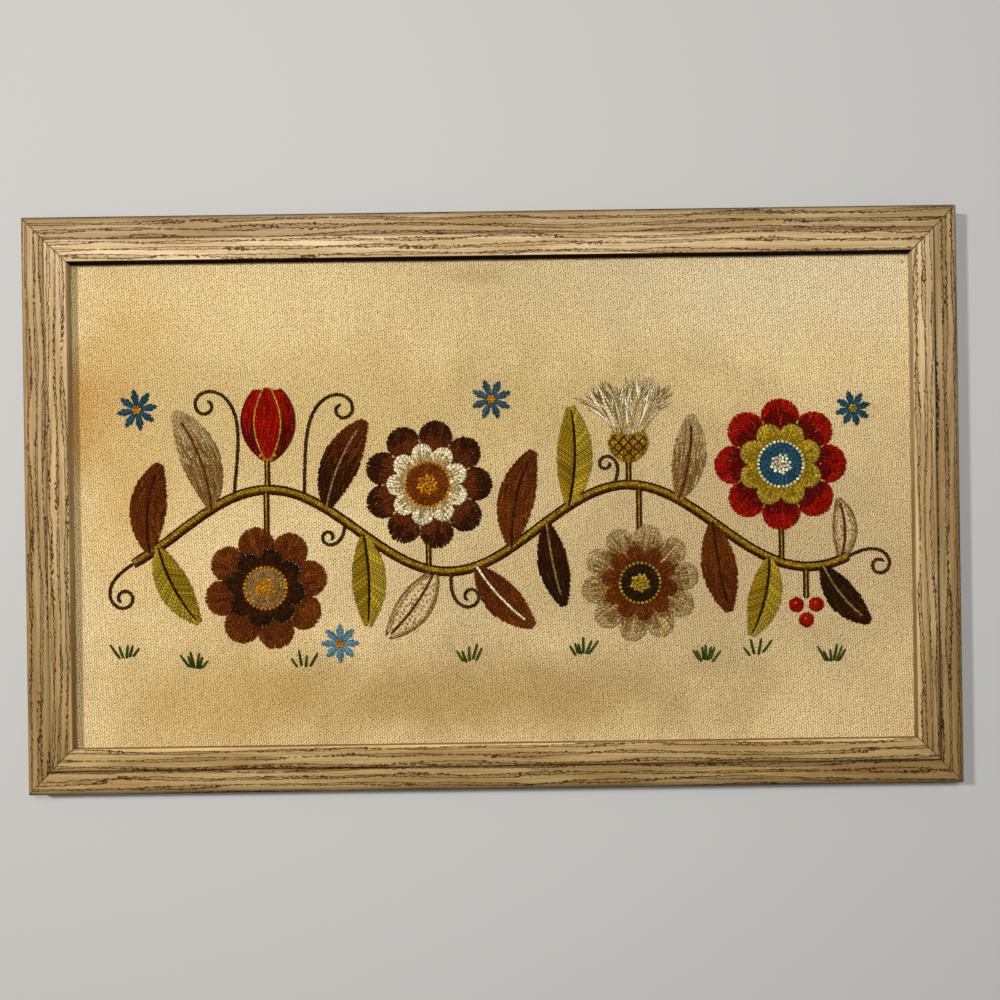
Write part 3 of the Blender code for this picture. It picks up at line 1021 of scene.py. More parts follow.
@dataclass
class StretchedCloth:
    """The twill, stretched over the panel and turned to its back with mitred corners."""

    thickness: float = 1.2 * MM
    clearance: float = 0.3 * MM
    fold_radius: float = 1.1 * MM
    turning: float = 24.0 * MM
    columns: int = 120
    rows: int = 70
    wander: float = 0.12 * MM
    crease_width: float = 0.9 * MM
    crease_height: float = 0.5 * MM

    def face_height(self) -> float:
        """The height of the cloth's front face, worked out from the panel's."""
        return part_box("backing_panel")[1].z + self.clearance + self.thickness

    def profile(self, front: float, back: float) -> tuple[np.ndarray, np.ndarray]:
        """The way round the panel's edge, as (distance in from the cloth's outer side, height).

        Args:
            front: the height of the front face.
            back: the height of the outer face at the back.

        Returns:
            The points after the front face's own edge, and their distances along the cloth.
        """
        r = self.fold_radius
        over = arc((r, front - r), r, 90, 180, 4)[1:]
        under = arc((r, back + r), r, 180, 270, 4)
        flap = np.array([(r + (self.turning - r) * t, back) for t in (0.15, 0.4, 0.7, 0.93, 1.0)])
        path = np.concatenate([[(r, front)], over, under, flap])
        return path[1:], distances(path)[1:]

    def build(self) -> bpy.types.Object:
        """Builds and dresses the cloth.

        The front is a grid. Its border is carried round the panel's edge as a stack of
        rectangles, each with the same number of points, so the corners come out mitred.

        Returns:
            The cloth.
        """
        low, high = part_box("embroidered_cloth")
        panel_low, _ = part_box("backing_panel")
        half = np.array([high.x - low.x, high.y - low.y]) / 2
        front = self.face_height()
        back = panel_low.z - self.clearance - self.thickness
        flat_half = half - self.fold_radius
        u = self.spread(self.columns)
        v = self.spread(self.rows)
        x, y = np.meshgrid(u * flat_half[0], v * flat_half[1])
        z = front + self.uneven(x, y, half)
        grid = np.stack([x, y, z], 2).reshape(-1, 3)
        wide, tall = len(u), len(v)
        number = np.arange(wide * tall).reshape(tall, wide)
        quads = (number[:-1, :-1], number[:-1, 1:], number[1:, 1:], number[1:, :-1])
        quads = np.stack(quads, 2).reshape(-1, 4)
        points, faces, maps = [grid], [quads], [grid[quads][:, :, :2]]
        ring = (number[0, :-1], number[:-1, -1], number[-1, :0:-1], number[:0:-1, 0])
        side = np.repeat([0, 1, 2, 3], [len(part) for part in ring])
        ring = np.concatenate(ring)
        share = grid[ring][:, :2] / flat_half
        out_x, out_y = np.abs(share * half).T
        off_mitre = np.abs(out_x - out_y - (half[0] - half[1]))
        crease = self.crease_height * fade(off_mitre, self.crease_width, 1.0)
        after = np.roll(np.arange(len(ring)), -1)
        previous, before, total = ring, 0.0, wide * tall
        for (inset, height), length in zip(*self.profile(front, back)):
            level = height + crease * (inset > 3 * MM)
            points.append(np.column_stack([share * (half - inset), level]))
            current = total + np.arange(len(ring))
            total += len(ring)
            faces.append(np.stack([previous[after], previous, current, current[after]], 1))
            maps.append(self.strip_map(side, share, half, before, length, inset, after))
            previous, before = current, length
        made = mesh_piece(
            "stretched_cloth", np.concatenate(points), np.concatenate(faces), np.concatenate(maps)
        )
        wall = made.modifiers.new("thickness", "SOLIDIFY")
        wall.thickness = self.thickness
        wall.offset = -1.0
        dress(made, "cotton_twill", Twill().material())
        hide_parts("embroidered_cloth")
        return made

    @staticmethod
    def spread(count: int) -> np.ndarray:
        """Places from -1 to 1, with three more set close to each end.

        Args:
            count: the number of even steps.

        Returns:
            The places in order.
        """
        even = np.linspace(-1.0, 1.0, count + 1)
        near = np.array([0.0012, 0.0030, 0.0065]) * 2
        return np.sort(np.concatenate([even, -1.0 + near, 1.0 - near]))

    def uneven(self, x: np.ndarray, y: np.ndarray, half: np.ndarray) -> np.ndarray:
        """Slight unevenness of the stretched face: two crossed waves that die out at its edges.

        They are multiplied by (1 - (x / half width)^8) (1 - (y / half height)^8).

        Args:
            x: places across the face.
            y: places up the face.
            half: the cloth's half sizes.

        Returns:
            The face's offsets, from -wander to 0.
        """
        calm = (1 - (x / half[0]) ** 8) * (1 - (y / half[1]) ** 8)
        waves = np.sin(x * 31.0 + 1.3 * np.sin(y * 23.0)) * np.sin(y * 37.0 + np.sin(x * 17.0))
        return self.wander * calm * (waves - 1.0) / 2

    @staticmethod
    def strip_map(
        side: np.ndarray,
        share: np.ndarray,
        half: np.ndarray,
        before: float,
        length: float,
        inset: float,
        after: np.ndarray,
    ) -> np.ndarray:
        """The flat cloth's coordinates for one ring of faces round the panel's edge.

        A face on the top or bottom keeps its x and runs outwards in y by the distance along the
        cloth, and a face on the left or right the other way about.

        Args:
            side: which side each face is on: 0 bottom, 1 right, 2 top, 3 left.
            share: the ring's places as shares of the cloth's half sizes.
            half: the cloth's half sizes.
            before: the distance along the cloth at the ring's start.
            length: the same at its end.
            inset: how far in from the outer side the ring's end lies.
            after: the number of each point's next neighbour.

        Returns:
            The map, four corners a face.
        """
        outward = np.array([[0, -1], [1, 0], [0, 1], [-1, 0]])[side]
        here, there = share * (half - inset), share[after] * (half - inset)
        corners = ((there, before), (here, before), (here, length), (there, length))
        return np.stack(
            [outward * (half + way) + place * (1 - np.abs(outward)) for place, way in corners], 1
        )


# ---------------------------------------------------------------------------------------------
# Stitches
# ---------------------------------------------------------------------------------------------

# A strand in millimetres: how far apart strands lie, how wide and thick they are, how long a
# stitch is, and how deep its ends sink into the cloth.
STRAND_PITCH = 1.12
STRAND_WIDTH = 1.34
STRAND_RISE = 0.92
STITCH_LENGTH = 4.6
SUNK = 0.12
# How far, in metres, the twist's map is moved between the darkest strand and the palest.
TONE_SHIFT = 0.37
# Places along a strand from 0 to 1, the same from -1 to 1, and the strand's width and thickness
# there as shares of the full ones.
WAY = np.array([0.0, 0.07, 0.24, 0.5, 0.76, 0.93, 1.0])
BOTH_WAYS = 2 * WAY - 1
NARROWING = np.array([0.45, 0.86, 1.0, 1.0, 1.0, 0.86, 0.45])
LOWERING = np.array([0.25, 0.80, 1.0, 1.0, 1.0, 0.80, 0.25])
# A strand's section as (share of the width, share of the thickness).
ROUND = np.array([(-0.50, 0.0), (-0.37, 0.62), (0.0, 1.0), (0.37, 0.62), (0.50, 0.0)])

# A radius for each angle round a flower's middle.
Outline = Callable[[np.ndarray], np.ndarray]


def toward(angle: np.ndarray | float) -> np.ndarray:
    """The directions (cos, sin) of angles in radians, one more axis than they have."""
    return np.stack([np.cos(angle), np.sin(angle)], -1)


def tones(rng: np.random.Generator, count: int, spread: float, middle: float = 0.5) -> np.ndarray:
    """Shades for so many strands, spread about the middle and kept between 0 and 1."""
    return np.clip(rng.normal(middle, spread, count), 0, 1)


@dataclass
class Skein:
    """The stitches of one motif that are worked in one dye. Lengths are in millimetres."""

    name: str
    dye: Dye
    ground: float
    batches: list[tuple] = field(default_factory=list)

    def lay(
        self,
        xy: np.ndarray,
        tone: np.ndarray,
        lift: float | np.ndarray = 0.30,
        width: float | np.ndarray = STRAND_WIDTH,
        rise: float | np.ndarray = STRAND_RISE,
        level: float | np.ndarray = 0.0,
        height: np.ndarray | None = None,
        taper: np.ndarray | None = None,
    ) -> None:
        """Lays strands on the cloth.

        A strand leaves the cloth at one end, runs at a height of lift (1 - |2t - 1|^3) and dives
        back at the other.

        Args:
            xy: (n, m, 2) places along each strand's middle.
            tone: (n,) shade of each strand, 0 to 1.
            lift: how high the middle of a strand's underside rises.
            width: the strand's width.
            rise: the strand's thickness.
            level: how high its ends stand above the cloth.
            height: (n, m) heights of the underside, in place of the rule above.
            taper: (m,) factors on the width and the thickness, in place of the usual ones.
        """
        n = len(xy)
        if n == 0:
            return

        def each(value: float | np.ndarray) -> np.ndarray:
            """A value for every strand, (n, 1)."""
            return np.broadcast_to(np.asarray(value, float), (n,))[:, None]

        if height is None:
            height = each(level) - SUNK + each(lift) * (1 - np.abs(BOTH_WAYS) ** 3)
        thin, low = (NARROWING, LOWERING) if taper is None else (taper, taper)
        self.batches.append((xy, height, each(width) * thin, each(rise) * low, tone))

    def mesh(self) -> bpy.types.Object | None:
        """Makes all the strands as one mesh of closed, flattened tubes.

        A ring of points stands at each place along a strand: place + side * a * width, height +
        b * thickness, for the (a, b) of ROUND, with side the strand's normal in the cloth's plane.

        Returns:
            The object, or None where nothing was laid.
        """
        if not self.batches:
            return None
        all_points, all_faces, all_uv, all_tone = [], [], [], []
        total = 0
        k = len(ROUND)
        for xy, height, wide, thick, tone in self.batches:
            n, m = height.shape
            ahead = np.gradient(xy, axis=1)
            ahead /= np.maximum(np.linalg.norm(ahead, axis=2, keepdims=True), 1e-9)
            side = np.stack([-ahead[..., 1], ahead[..., 0]], 2)
            off = (ROUND[:, 0] * wide[..., None])[..., None]
            flat = xy[:, :, None, :] + side[:, :, None, :] * off
            tall = height[..., None] + ROUND[:, 1] * thick[..., None]
            points = np.concatenate([flat, tall[..., None]], 3) * MM
            points[..., 2] += self.ground
            number = total + np.arange(n * m * k).reshape(n, m, k)
            total += n * m * k
            here, there = number[:, :-1], number[:, 1:]
            quads = np.stack([here, np.roll(here, -1, 2), np.roll(there, -1, 2), there], 3)
            way = distances(xy) * MM + (tone * TONE_SHIFT)[:, None]
            around, along = np.broadcast_arrays(np.arange(k + 1) / k, way[:, :, None])
            flat_map = np.stack([around, along], 3)
            lower, upper = flat_map[:, :-1], flat_map[:, 1:]
            corners = (lower[:, :, :-1], lower[:, :, 1:], upper[:, :, 1:], upper[:, :, :-1])
            start, end = number[:, 0], number[:, -1]
            caps = (
                start[:, [0, 4, 3, 1]],
                start[:, [1, 3, 2, 2]],
                end[:, [0, 1, 3, 4]],
                end[:, [1, 2, 3, 3]],
            )
            cap_uv = np.zeros((4 * n, 4, 2))
            cap_uv[..., 1] = np.repeat(way[:, [0, 0, -1, -1]].T.ravel(), 4).reshape(-1, 4)
            all_points.append(points.reshape(-1, 3))
            all_faces += [quads.reshape(-1, 4), *caps]
            all_uv += [np.stack(corners, 3).reshape(-1, 4, 2), cap_uv]
            all_tone.append(np.repeat(tone, m * k))
        return mesh_piece(
            self.name,
            np.concatenate(all_points),
            np.concatenate(all_faces),
            np.concatenate(all_uv),
            {"tone": np.concatenate(all_tone)},
        )


@dataclass(frozen=True)
class Blade:
    """A leaf or petal with a curved midrib, in millimetres and radians."""

    x: float
    y: float
    heading: float
    length: float
    width: float
    bend: float
    blunt: float = 0.04
    fullness: float = 0.8

    def half(self, s: np.ndarray) -> np.ndarray:
        """Half the width at s: width/2 sin(pi (blunt + (1 - 2 blunt) s))^fullness."""
        swell = np.sin(np.pi * (self.blunt + (1 - 2 * self.blunt) * np.clip(s, 0, 1)))
        return self.width / 2 * swell**self.fullness

    def at(self, s: np.ndarray, off: np.ndarray | float) -> np.ndarray:
        """The place at s along the midrib and off to its left.

        The midrib is a circle's arc whose heading grows from heading by bend s.

        Args:
            s: from 0 at the base to 1 at the tip.
            off: distance to the left of the midrib.

        Returns:
            The places, one more axis than s.
        """
        bend = self.bend if abs(self.bend) > 1e-6 else 1e-6
        way = self.heading + bend * s
        radius = self.length / bend
        x = self.x + radius * (np.sin(way) - math.sin(self.heading)) - off * np.sin(way)
        y = self.y - radius * (np.cos(way) - math.cos(self.heading)) + off * np.cos(way)
        return np.stack([x, y], -1)


class Fill(Enum):
    """The ways that a leaf is worked."""

    LONG_AND_SHORT = "rows of stitches along the leaf"
    FISHBONE = "slanting stitches from the midrib to the edge"
    SEEDED = "scattered seed stitches inside an outline"


@dataclass(frozen=True)
class Leaf:
    """A leaf that leaves the vine at along, leaning from its direction. Millimetres, degrees."""

    along: float
    side: int
    lean: float
    length: float
    width: float
    bend: float
    fill: Fill
    first: Dye
    second: Dye
    rib: Dye


@dataclass(frozen=True)
class Blossom:
    """A round flower of two rings of petals and an eye. Millimetres, degrees."""

    x: float
    y: float
    radius: float
    petals: int
    turn: float
    rim: Dye
    petal: Dye
    ring: Dye
    ring_deep: Dye
    eye: Dye
    heart: Dye


@dataclass(frozen=True)
class Daisy:
    """A small flower of a few straight stitches a petal."""

    x: float
    y: float
    radius: float
    petals: int
    turn: float
    petal: Dye
    heart: Dye


@dataclass(frozen=True)
class Tendril:
    """A curling line that leaves the vine and turns more and more tightly."""

    along: float
    side: int
    lean: float
    length: float
    turn: float
    late: float


@dataclass(frozen=True)
class Stem:
    """How a row of stem stitch is worked, in millimetres.

    Each stitch is width wide and stitch long, leans by slant to either side of its line, and its
    middle rises by lift.
    """

    width: float
    stitch: float
    slant: float = 0.45
    lift: float = 0.35


@dataclass
class Embroidery:
    """The crewel work: a scrolling vine with leaves, blossoms, a tulip, a thistle and daisies.

    ground is the height of the cloth's face in metres. All other lengths are in millimetres from
    the picture's middle.
    """

    ground: float
    vine_left: float = -256.0
    vine_right: float = 252.0
    vine_start: float = -224.0
    vine_wave: float = 256.0
    vine_swing: float = 30.0
    vine_height: float = -20.0
    tuft_foot: float = 6.0
    inner_ring: float = 0.64
    eye_ring: float = 0.34
    heart_ring: float = 0.15
    notch: float = 0.70
    skeins: dict[str, Skein] = field(default_factory=dict)

    VINE_ROW = Stem(1.6, 5.6, 0.50, 0.50)
    STALK_ROW = Stem(1.5, 5.0, 0.42, 0.45)
    TENDRIL_ROPE = Stem(1.7, 4.4, 0.85, 0.60)
    RIB = Stem(1.6, 4.6)
    OUTER_LINE = Stem(1.6, 5.5)
    INNER_LINE = Stem(1.4, 5.5)
    PARTING = Stem(1.5, 4.6, 0.35)
    TULIP_EDGE = Stem(1.4, 5.5, 0.20)

    LONG, BONE, SEED = Fill.LONG_AND_SHORT, Fill.FISHBONE, Fill.SEEDED
    LEAVES = (
        Leaf(-244, 1, 68, 66, 26, -36, LONG, Dye.RUST, Dye.CHESTNUT, Dye.CHOCOLATE),
        Leaf(-238, -1, 112, 62, 24, 30, BONE, Dye.MUSTARD, Dye.STRAW, Dye.NEARLY_BLACK),
        Leaf(-200, 1, 62, 76, 28, 34, LONG, Dye.TAN, Dye.SAND, Dye.CHESTNUT),
        Leaf(-118, 1, 113, 70, 27, -30, LONG, Dye.CHOCOLATE, Dye.CHESTNUT, Dye.TAN),
        Leaf(-92, -1, 44, 66, 25, -16, BONE, Dye.STRAW, Dye.MUSTARD, Dye.NEARLY_BLACK),
        Leaf(-42, -1, 104, 58, 24, -24, SEED, Dye.SAND, Dye.TAN, Dye.CHESTNUT),
        Leaf(-12, -1, 78, 60, 25, 24, LONG, Dye.CHESTNUT, Dye.RUST, Dye.CREAM),
        Leaf(13, 1, 58, 72, 26, -30, LONG, Dye.RUST, Dye.CHESTNUT, Dye.CHOCOLATE),
        Leaf(54, 1, 44, 72, 26, 24, BONE, Dye.MUSTARD, Dye.STRAW, Dye.NEARLY_BLACK),
        Leaf(38, -1, 120, 62, 22, 10, LONG, Dye.CHOCOLATE, Dye.NEARLY_BLACK, Dye.TAN),
        Leaf(132, 1, 98, 62, 24, 26, LONG, Dye.TAN, Dye.SAND, Dye.CHESTNUT),
        Leaf(156, -1, 48, 66, 25, 8, LONG, Dye.RUST, Dye.CHESTNUT, Dye.CHOCOLATE),
        Leaf(196, -1, 64, 58, 24, -30, BONE, Dye.STRAW, Dye.MUSTARD, Dye.NEARLY_BLACK),
        Leaf(234, -1, 76, 54, 22, 30, LONG, Dye.NEARLY_BLACK, Dye.CHOCOLATE, Dye.TAN),
        Leaf(247, 1, 50, 44, 17, 40, SEED, Dye.SAND, Dye.TAN, Dye.CHESTNUT),
    )
    BLOSSOMS = (
        Blossom(
            *(-162, -60, 44, 8, 12),
            *(Dye.RUST, Dye.CHESTNUT, Dye.NEARLY_BLACK, Dye.CHOCOLATE, Dye.TAN, Dye.GOLD),
        ),
        Blossom(
            *(-46, 12, 46, 9, 0),
            *(Dye.CHOCOLATE, Dye.CHESTNUT, Dye.CREAM, Dye.SAND, Dye.RUST, Dye.GOLD),
        ),
        Blossom(
            *(104, -60, 42, 10, 8),
            *(Dye.SAND, Dye.TAN, Dye.RUST, Dye.CHESTNUT, Dye.NEARLY_BLACK, Dye.STRAW),
        ),
        Blossom(
            *(205, 23, 47, 8, 0),
            *(Dye.RED, Dye.WINE, Dye.STRAW, Dye.MUSTARD, Dye.BLUE, Dye.CREAM),
        ),
    )
    DAISIES = (
        Daisy(-252, 68, 15, 8, 10, Dye.BLUE, Dye.GOLD),
        Daisy(0, 72, 15, 8, 20, Dye.SLATE, Dye.GOLD),
        Daisy(-110, -100, 14, 8, 0, Dye.SKY, Dye.GOLD),
        Daisy(257, 62, 13, 8, 15, Dye.BLUE, Dye.STRAW),
    )
    # Each stalk: where it leaves the vine, and the height that it runs to.
    STALKS = ((-160, 36), (-161, -22), (-46, -28), (97, 34), (104, -22), (205, -20), (222, -72))
    TENDRILS = (
        Tendril(-256, 1, 186, 74, 460, 2.2),
        Tendril(-184, 1, 62, 124, 430, 4.0),
        Tendril(-134, 1, 112, 124, -430, 4.0),
        Tendril(-105, -1, 62, 44, -400, 2.2),
        Tendril(-30, -1, 96, 62, 420, 2.2),
        Tendril(86, 1, 58, 46, 400, 2.2),
        Tendril(252, 1, 0, 66, -440, 2.2),
    )
    # Each berry and the thistle: its middle and radius. The tulip: its foot, length and width.
    BERRIES = ((215, -77, 5.5), (229, -77, 5.5), (222, -88, 5.5))
    TULIP = (-159.0, 31.0, 52.0, 24.0)
    THISTLE = (97.0, 40.0, 14.0)
    # Each layer of the tuft, from the lowest: how many strands, their dye and their width.
    TUFT = ((60, Dye.TAN, 1.25), (66, Dye.CREAM, 1.15), (48, Dye.SAND, 0.9))
    # Each tuft of grass: its foot and how many blades it has.
    GRASS = (
        (-262, -108, 5),
        (-213, -116, 6),
        (-136, -116, 4),
        (-18, -114, 5),
        (62, -110, 6),
        (150, -116, 7),
        (186, -112, 4),
        (240, -118, 6),
    )

    # The vine -----------------------------------------------------------------------------------

    def vine_point(self, x: np.ndarray | float) -> tuple:
        """The middle of the vine at x: a sine wave about its height."""
        turn = 2 * np.pi * (x - self.vine_start) / self.vine_wave
        return x, self.vine_height + self.vine_swing * np.sin(turn)

    def vine_heading(self, x: float) -> float:
        """The vine's direction at x, in radians."""
        rate = 2 * math.pi / self.vine_wave
        return math.atan(self.vine_swing * rate * math.cos(rate * (x - self.vine_start)))

    def skein(self, motif: str, dye: Dye) -> Skein:
        """The skein of a motif and dye, started if it is the first time.

        Args:
            motif: the name that it starts with.
            dye: its dye.

        Returns:
            The skein.
        """
        name = f"{motif}_{dye.name.lower()}"
        if name not in self.skeins:
            self.skeins[name] = Skein(name, dye, self.ground)
        return self.skeins[name]

    # Stitches -----------------------------------------------------------------------------------

    @staticmethod
    def straight(a: np.ndarray, b: np.ndarray) -> np.ndarray:
        """Places along straight stitches from a to b, (n, m, 2)."""
        return a[:, None, :] + (b - a)[:, None, :] * WAY[None, :, None]

    @staticmethod
    def follow(path: np.ndarray, way: np.ndarray, off: np.ndarray) -> np.ndarray:
        """Places at distances along a path of points, off to its left.

        Args:
            path: (k, 2) points.
            way: distances along it, any shape.
            off: distances to its left, of the same shape.

        Returns:
            The places, one more axis than way.
        """
        run = distances(path)
        ahead = np.gradient(path, run, axis=0)
        x, y = np.interp(way, run, path[:, 0]), np.interp(way, run, path[:, 1])
        ax, ay = np.interp(way, run, ahead[:, 0]), np.interp(way, run, ahead[:, 1])
        size = np.maximum(np.hypot(ax, ay), 1e-9)
        return np.stack([x - off * ay / size, y + off * ax / size], -1)

    def stem_stitch(
        self,
        skein: Skein,
        path: np.ndarray,
        rng: np.random.Generator,
        row: Stem,
        off: float = 0.0,
        level: float = 0.0,
    ) -> None:
        """Works a line: each stitch starts halfway back along the one before, slanting across it.

        Args:
            skein: where the strands go.
            path: (k, 2) points of the line.
            rng: the motif's random numbers.
            row: the stitches' sizes.
            off: how far to the left of the path the line lies.
            level: how high the ends stand above the cloth.
        """
        whole = distances(path)[-1]
        starts = np.arange(-row.stitch * 0.25, whole - row.stitch * 0.4, row.stitch * 0.5)
        starts = starts + rng.uniform(-0.4, 0.4, len(starts))
        way = np.clip(starts[:, None] + row.stitch * WAY, 0.0, whole)
        lean = off + row.slant * BOTH_WAYS + rng.uniform(-0.10, 0.10, (len(starts), 1))
        xy = self.follow(path, way, lean)
        tone = rng.uniform(0, 1, len(starts))
        width = row.width * rng.uniform(0.92, 1.08, len(starts))
        skein.lay(xy, tone, row.lift, width, 0.95, level)

    def knots(
        self,
        skein: Skein,
        places: np.ndarray,
        rng: np.random.Generator,
        size: float = 1.0,
        level: float = 0.0,
    ) -> None:
        """Works French knots: a strand wound one and three quarter turns round itself.

        Args:
            skein: where the strands go.
            places: (n, 2) the knots' middles.
            rng: the motif's random numbers.
            size: a factor on the knots.
            level: how high they stand above the cloth.
        """
        m = 13
        n = len(places)
        t = np.linspace(0, 1, m)
        turn = rng.uniform(0, 2 * np.pi, (n, 1)) + t * 2 * np.pi * 1.75
        radius = size * (0.86 - 0.42 * t) * rng.uniform(0.9, 1.12, (n, 1))
        xy = places[:, None, :] + toward(turn) * radius[..., None]
        height = level - 0.1 + size * 0.95 * t**0.9 * np.ones((n, 1))
        taper = np.concatenate([[0.5, 0.9], np.ones(m - 4), [0.85, 0.4]])
        tone = rng.uniform(0, 1, n)
        skein.lay(xy, tone, 0.0, 1.05 * size, 0.95 * size, height=height, taper=taper)

    def long_and_short(
        self,
        blade: Blade,
        motif: str,
        first: Dye,
        second: Dye,
        rng: np.random.Generator,
        level: float = 0.0,
    ) -> None:
        """Fills a blade with lanes of stitches along it, from the first dye to the second.

        Lanes lie STRAND_PITCH apart. Each is cut into stitches of uneven length, and the chance
        of the second dye grows along the blade.

        Args:
            blade: the shape to fill.
            motif: the name that the skeins start with.
            first: the dye at the base.
            second: the dye towards the tip.
            rng: the motif's random numbers.
            level: how high the stitches start.
        """
        edge = blade.width / 2
        inside = np.linspace(0.012, 0.988, 160)
        halves = blade.half(inside)
        for count, lane in enumerate(np.arange(-edge + 0.55, edge - 0.1, STRAND_PITCH)):
            free = inside[halves > abs(lane) + 0.25]
            if len(free) < 5:
                continue
            low, high = free[0], free[-1]
            pieces = max(1, round((high - low) * blade.length / STITCH_LENGTH))
            cuts = np.arange(pieces + 1) + 0.5 * (count % 2)
            cuts = cuts + rng.uniform(-0.22, 0.22, pieces + 1)
            cuts = low + (high - low) * np.clip(cuts / pieces, 0, 1)
            cuts[0], cuts[-1] = low - rng.uniform(0, 0.008), high + rng.uniform(-0.004, 0.008)
            cuts = np.unique(cuts)
            apart = np.diff(cuts)[:-1] * blade.length > 1.8
            cuts = np.concatenate([cuts[:1], cuts[1:-1][apart], cuts[-1:]])
            a, b = cuts[:-1].copy(), cuts[1:].copy()
            a[1:] -= 0.9 / blade.length
            b[:-1] += 0.5 / blade.length
            n = len(a)
            s = a[:, None] + (b - a)[:, None] * WAY
            off = lane + rng.uniform(-0.16, 0.16, (n, 1))
            off = off + rng.uniform(-0.14, 0.14, (n, 1)) * BOTH_WAYS
            xy = blade.at(s, off)
            middle = (a + b) / 2
            late = rng.uniform(0, 1, n) < np.clip((middle - 0.40) * 2.6 + 0.10, 0.04, 0.97)
            tone = tones(rng, n, 0.26)
            bulge = level + 0.55 * np.sqrt(np.clip(1 - (lane / (edge + 0.5)) ** 2, 0, 1))
            rise = STRAND_RISE * rng.uniform(0.88, 1.10, n)
            for dye, own in ((first, ~late), (second, late)):
                skein = self.skein(motif, dye)
                skein.lay(xy[own], tone[own], 0.32, STRAND_WIDTH, rise[own], bulge)

    def fishbone(
        self, blade: Blade, motif: str, first: Dye, second: Dye, rng: np.random.Generator
    ) -> None:
        """Fills a blade with satin stitches that slant from the midrib to either edge.

        Args:
            blade: the shape to fill.
            motif: the name that the skeins start with.
            first: the dye of the left half.
            second: the dye of the right half.
            rng: the motif's random numbers.
        """
        step = STRAND_PITCH / blade.length / 0.80
        reach = 0.62 * blade.width / 2 / blade.length
        for side, dye in ((1, first), (-1, second)):
            s = np.arange(-reach, 0.985, step)
            s = s + rng.uniform(-0.12, 0.12, len(s)) * step
            inner = np.clip(s, 0.015, 0.98)
            outer = np.clip(s + reach * (1.0 + 0.25 * inner), 0.03, 0.992)
            a = blade.at(inner, -side * 0.35)
            b = blade.at(outer, side * (blade.half(outer) + rng.uniform(-0.35, 0.30, len(s))))
            self.skein(motif, dye).lay(self.straight(a, b), tones(rng, len(s), 0.25), 0.75)

    def seeded(
        self, blade: Blade, motif: str, first: Dye, second: Dye, rng: np.random.Generator
    ) -> None:
        """Works a blade as an outline with scattered seed stitches, the cloth showing between.

        Args:
            blade: the shape to fill.
            motif: the name that the skeins start with.
            first: the dye of the seeds.
            second: the dye of the outline.
            rng: the motif's random numbers.
        """
        s = np.linspace(0.0, 1.0, 50)
        for side in (1, -1):
            path = blade.at(s, side * (blade.half(s) - 0.6))
            self.stem_stitch(self.skein(motif, second), path, rng, self.OUTER_LINE)
            inner = blade.at(s[2:-2], side * (blade.half(s[2:-2]) - 2.1))
            self.stem_stitch(self.skein(motif, first), inner, rng, self.INNER_LINE)
        spots = []
        for along in np.arange(0.10, 0.92, 3.3 / blade.length):
            room = blade.half(np.array(along)) - 3.6
            across = np.arange(-room, room + 0.01, 3.4) if room > 0.5 else np.array([])
            across = across[np.abs(across) > 1.4]
            spots += [(along, value) for value in across]
        spots = np.array(spots)
        spots[:, 0] += rng.uniform(-0.8, 0.8, len(spots)) / blade.length
        spots[:, 1] += rng.uniform(-0.7, 0.7, len(spots))
        middle = blade.at(spots[:, 0], spots[:, 1])
        half = toward(rng.uniform(0, np.pi, len(spots))) * rng.uniform(1.0, 1.5, (len(spots), 1))
        seeds = self.straight(middle - half, middle + half)
        self.skein(motif, first).lay(seeds, rng.uniform(0, 1, len(spots)), 0.35, 1.15, 0.85)

    # Motifs -------------------------------------------------------------------------------------

    def vine(self) -> None:
        """Works the vine: rows of stem stitch side by side, dark outside and mustard within."""
        rng = np.random.default_rng(11)
        x = np.linspace(self.vine_left, self.vine_right, 400)
        path = np.stack(self.vine_point(x), 1)
        rows = (
            (-2.6, Dye.NEARLY_BLACK),
            (-1.35, Dye.CHESTNUT),
            (0.0, Dye.MUSTARD),
            (1.35, Dye.MUSTARD),
            (2.6, Dye.CHOCOLATE),
        )
        for off, dye in rows:
            level = 0.15 if abs(off) < 2 else 0.0
            self.stem_stitch(self.skein("vine", dye), path, rng, self.VINE_ROW, off, level)

    def stalks(self) -> None:
        """Works the straight stalks: three rows of stem stitch each."""
        rng = np.random.default_rng(12)
        for along, end in self.STALKS:
            base = self.vine_point(float(along))
            s = np.linspace(0, 1, 20)[:, None]
            path = np.array(base) + (np.array([along, end]) - np.array(base)) * s
            for off, dye in ((-1.15, Dye.CHOCOLATE), (0.05, Dye.MUSTARD), (1.25, Dye.CHOCOLATE)):
                self.stem_stitch(self.skein("stalk", dye), path, rng, self.STALK_ROW, off)

    def tendrils(self) -> None:
        """Works the tendrils: one rope of steep stem stitch.

        The heading turns by turn times the late-th power of the way along, and the points are the
        running sum of its steps.
        """
        rng = np.random.default_rng(13)
        steps = 160
        for tendril in self.TENDRILS:
            start = self.vine_heading(tendril.along) + math.radians(tendril.side * tendril.lean)
            s = (np.arange(steps) + 0.5) / steps
            heading = start + math.radians(tendril.turn) * s**tendril.late
            moves = toward(heading) * tendril.length / steps
            base = np.array(self.vine_point(tendril.along))
            path = np.concatenate([base[None], base + np.cumsum(moves, 0)])
            self.stem_stitch(self.skein("tendril", Dye.PEAT), path, rng, self.TENDRIL_ROPE)

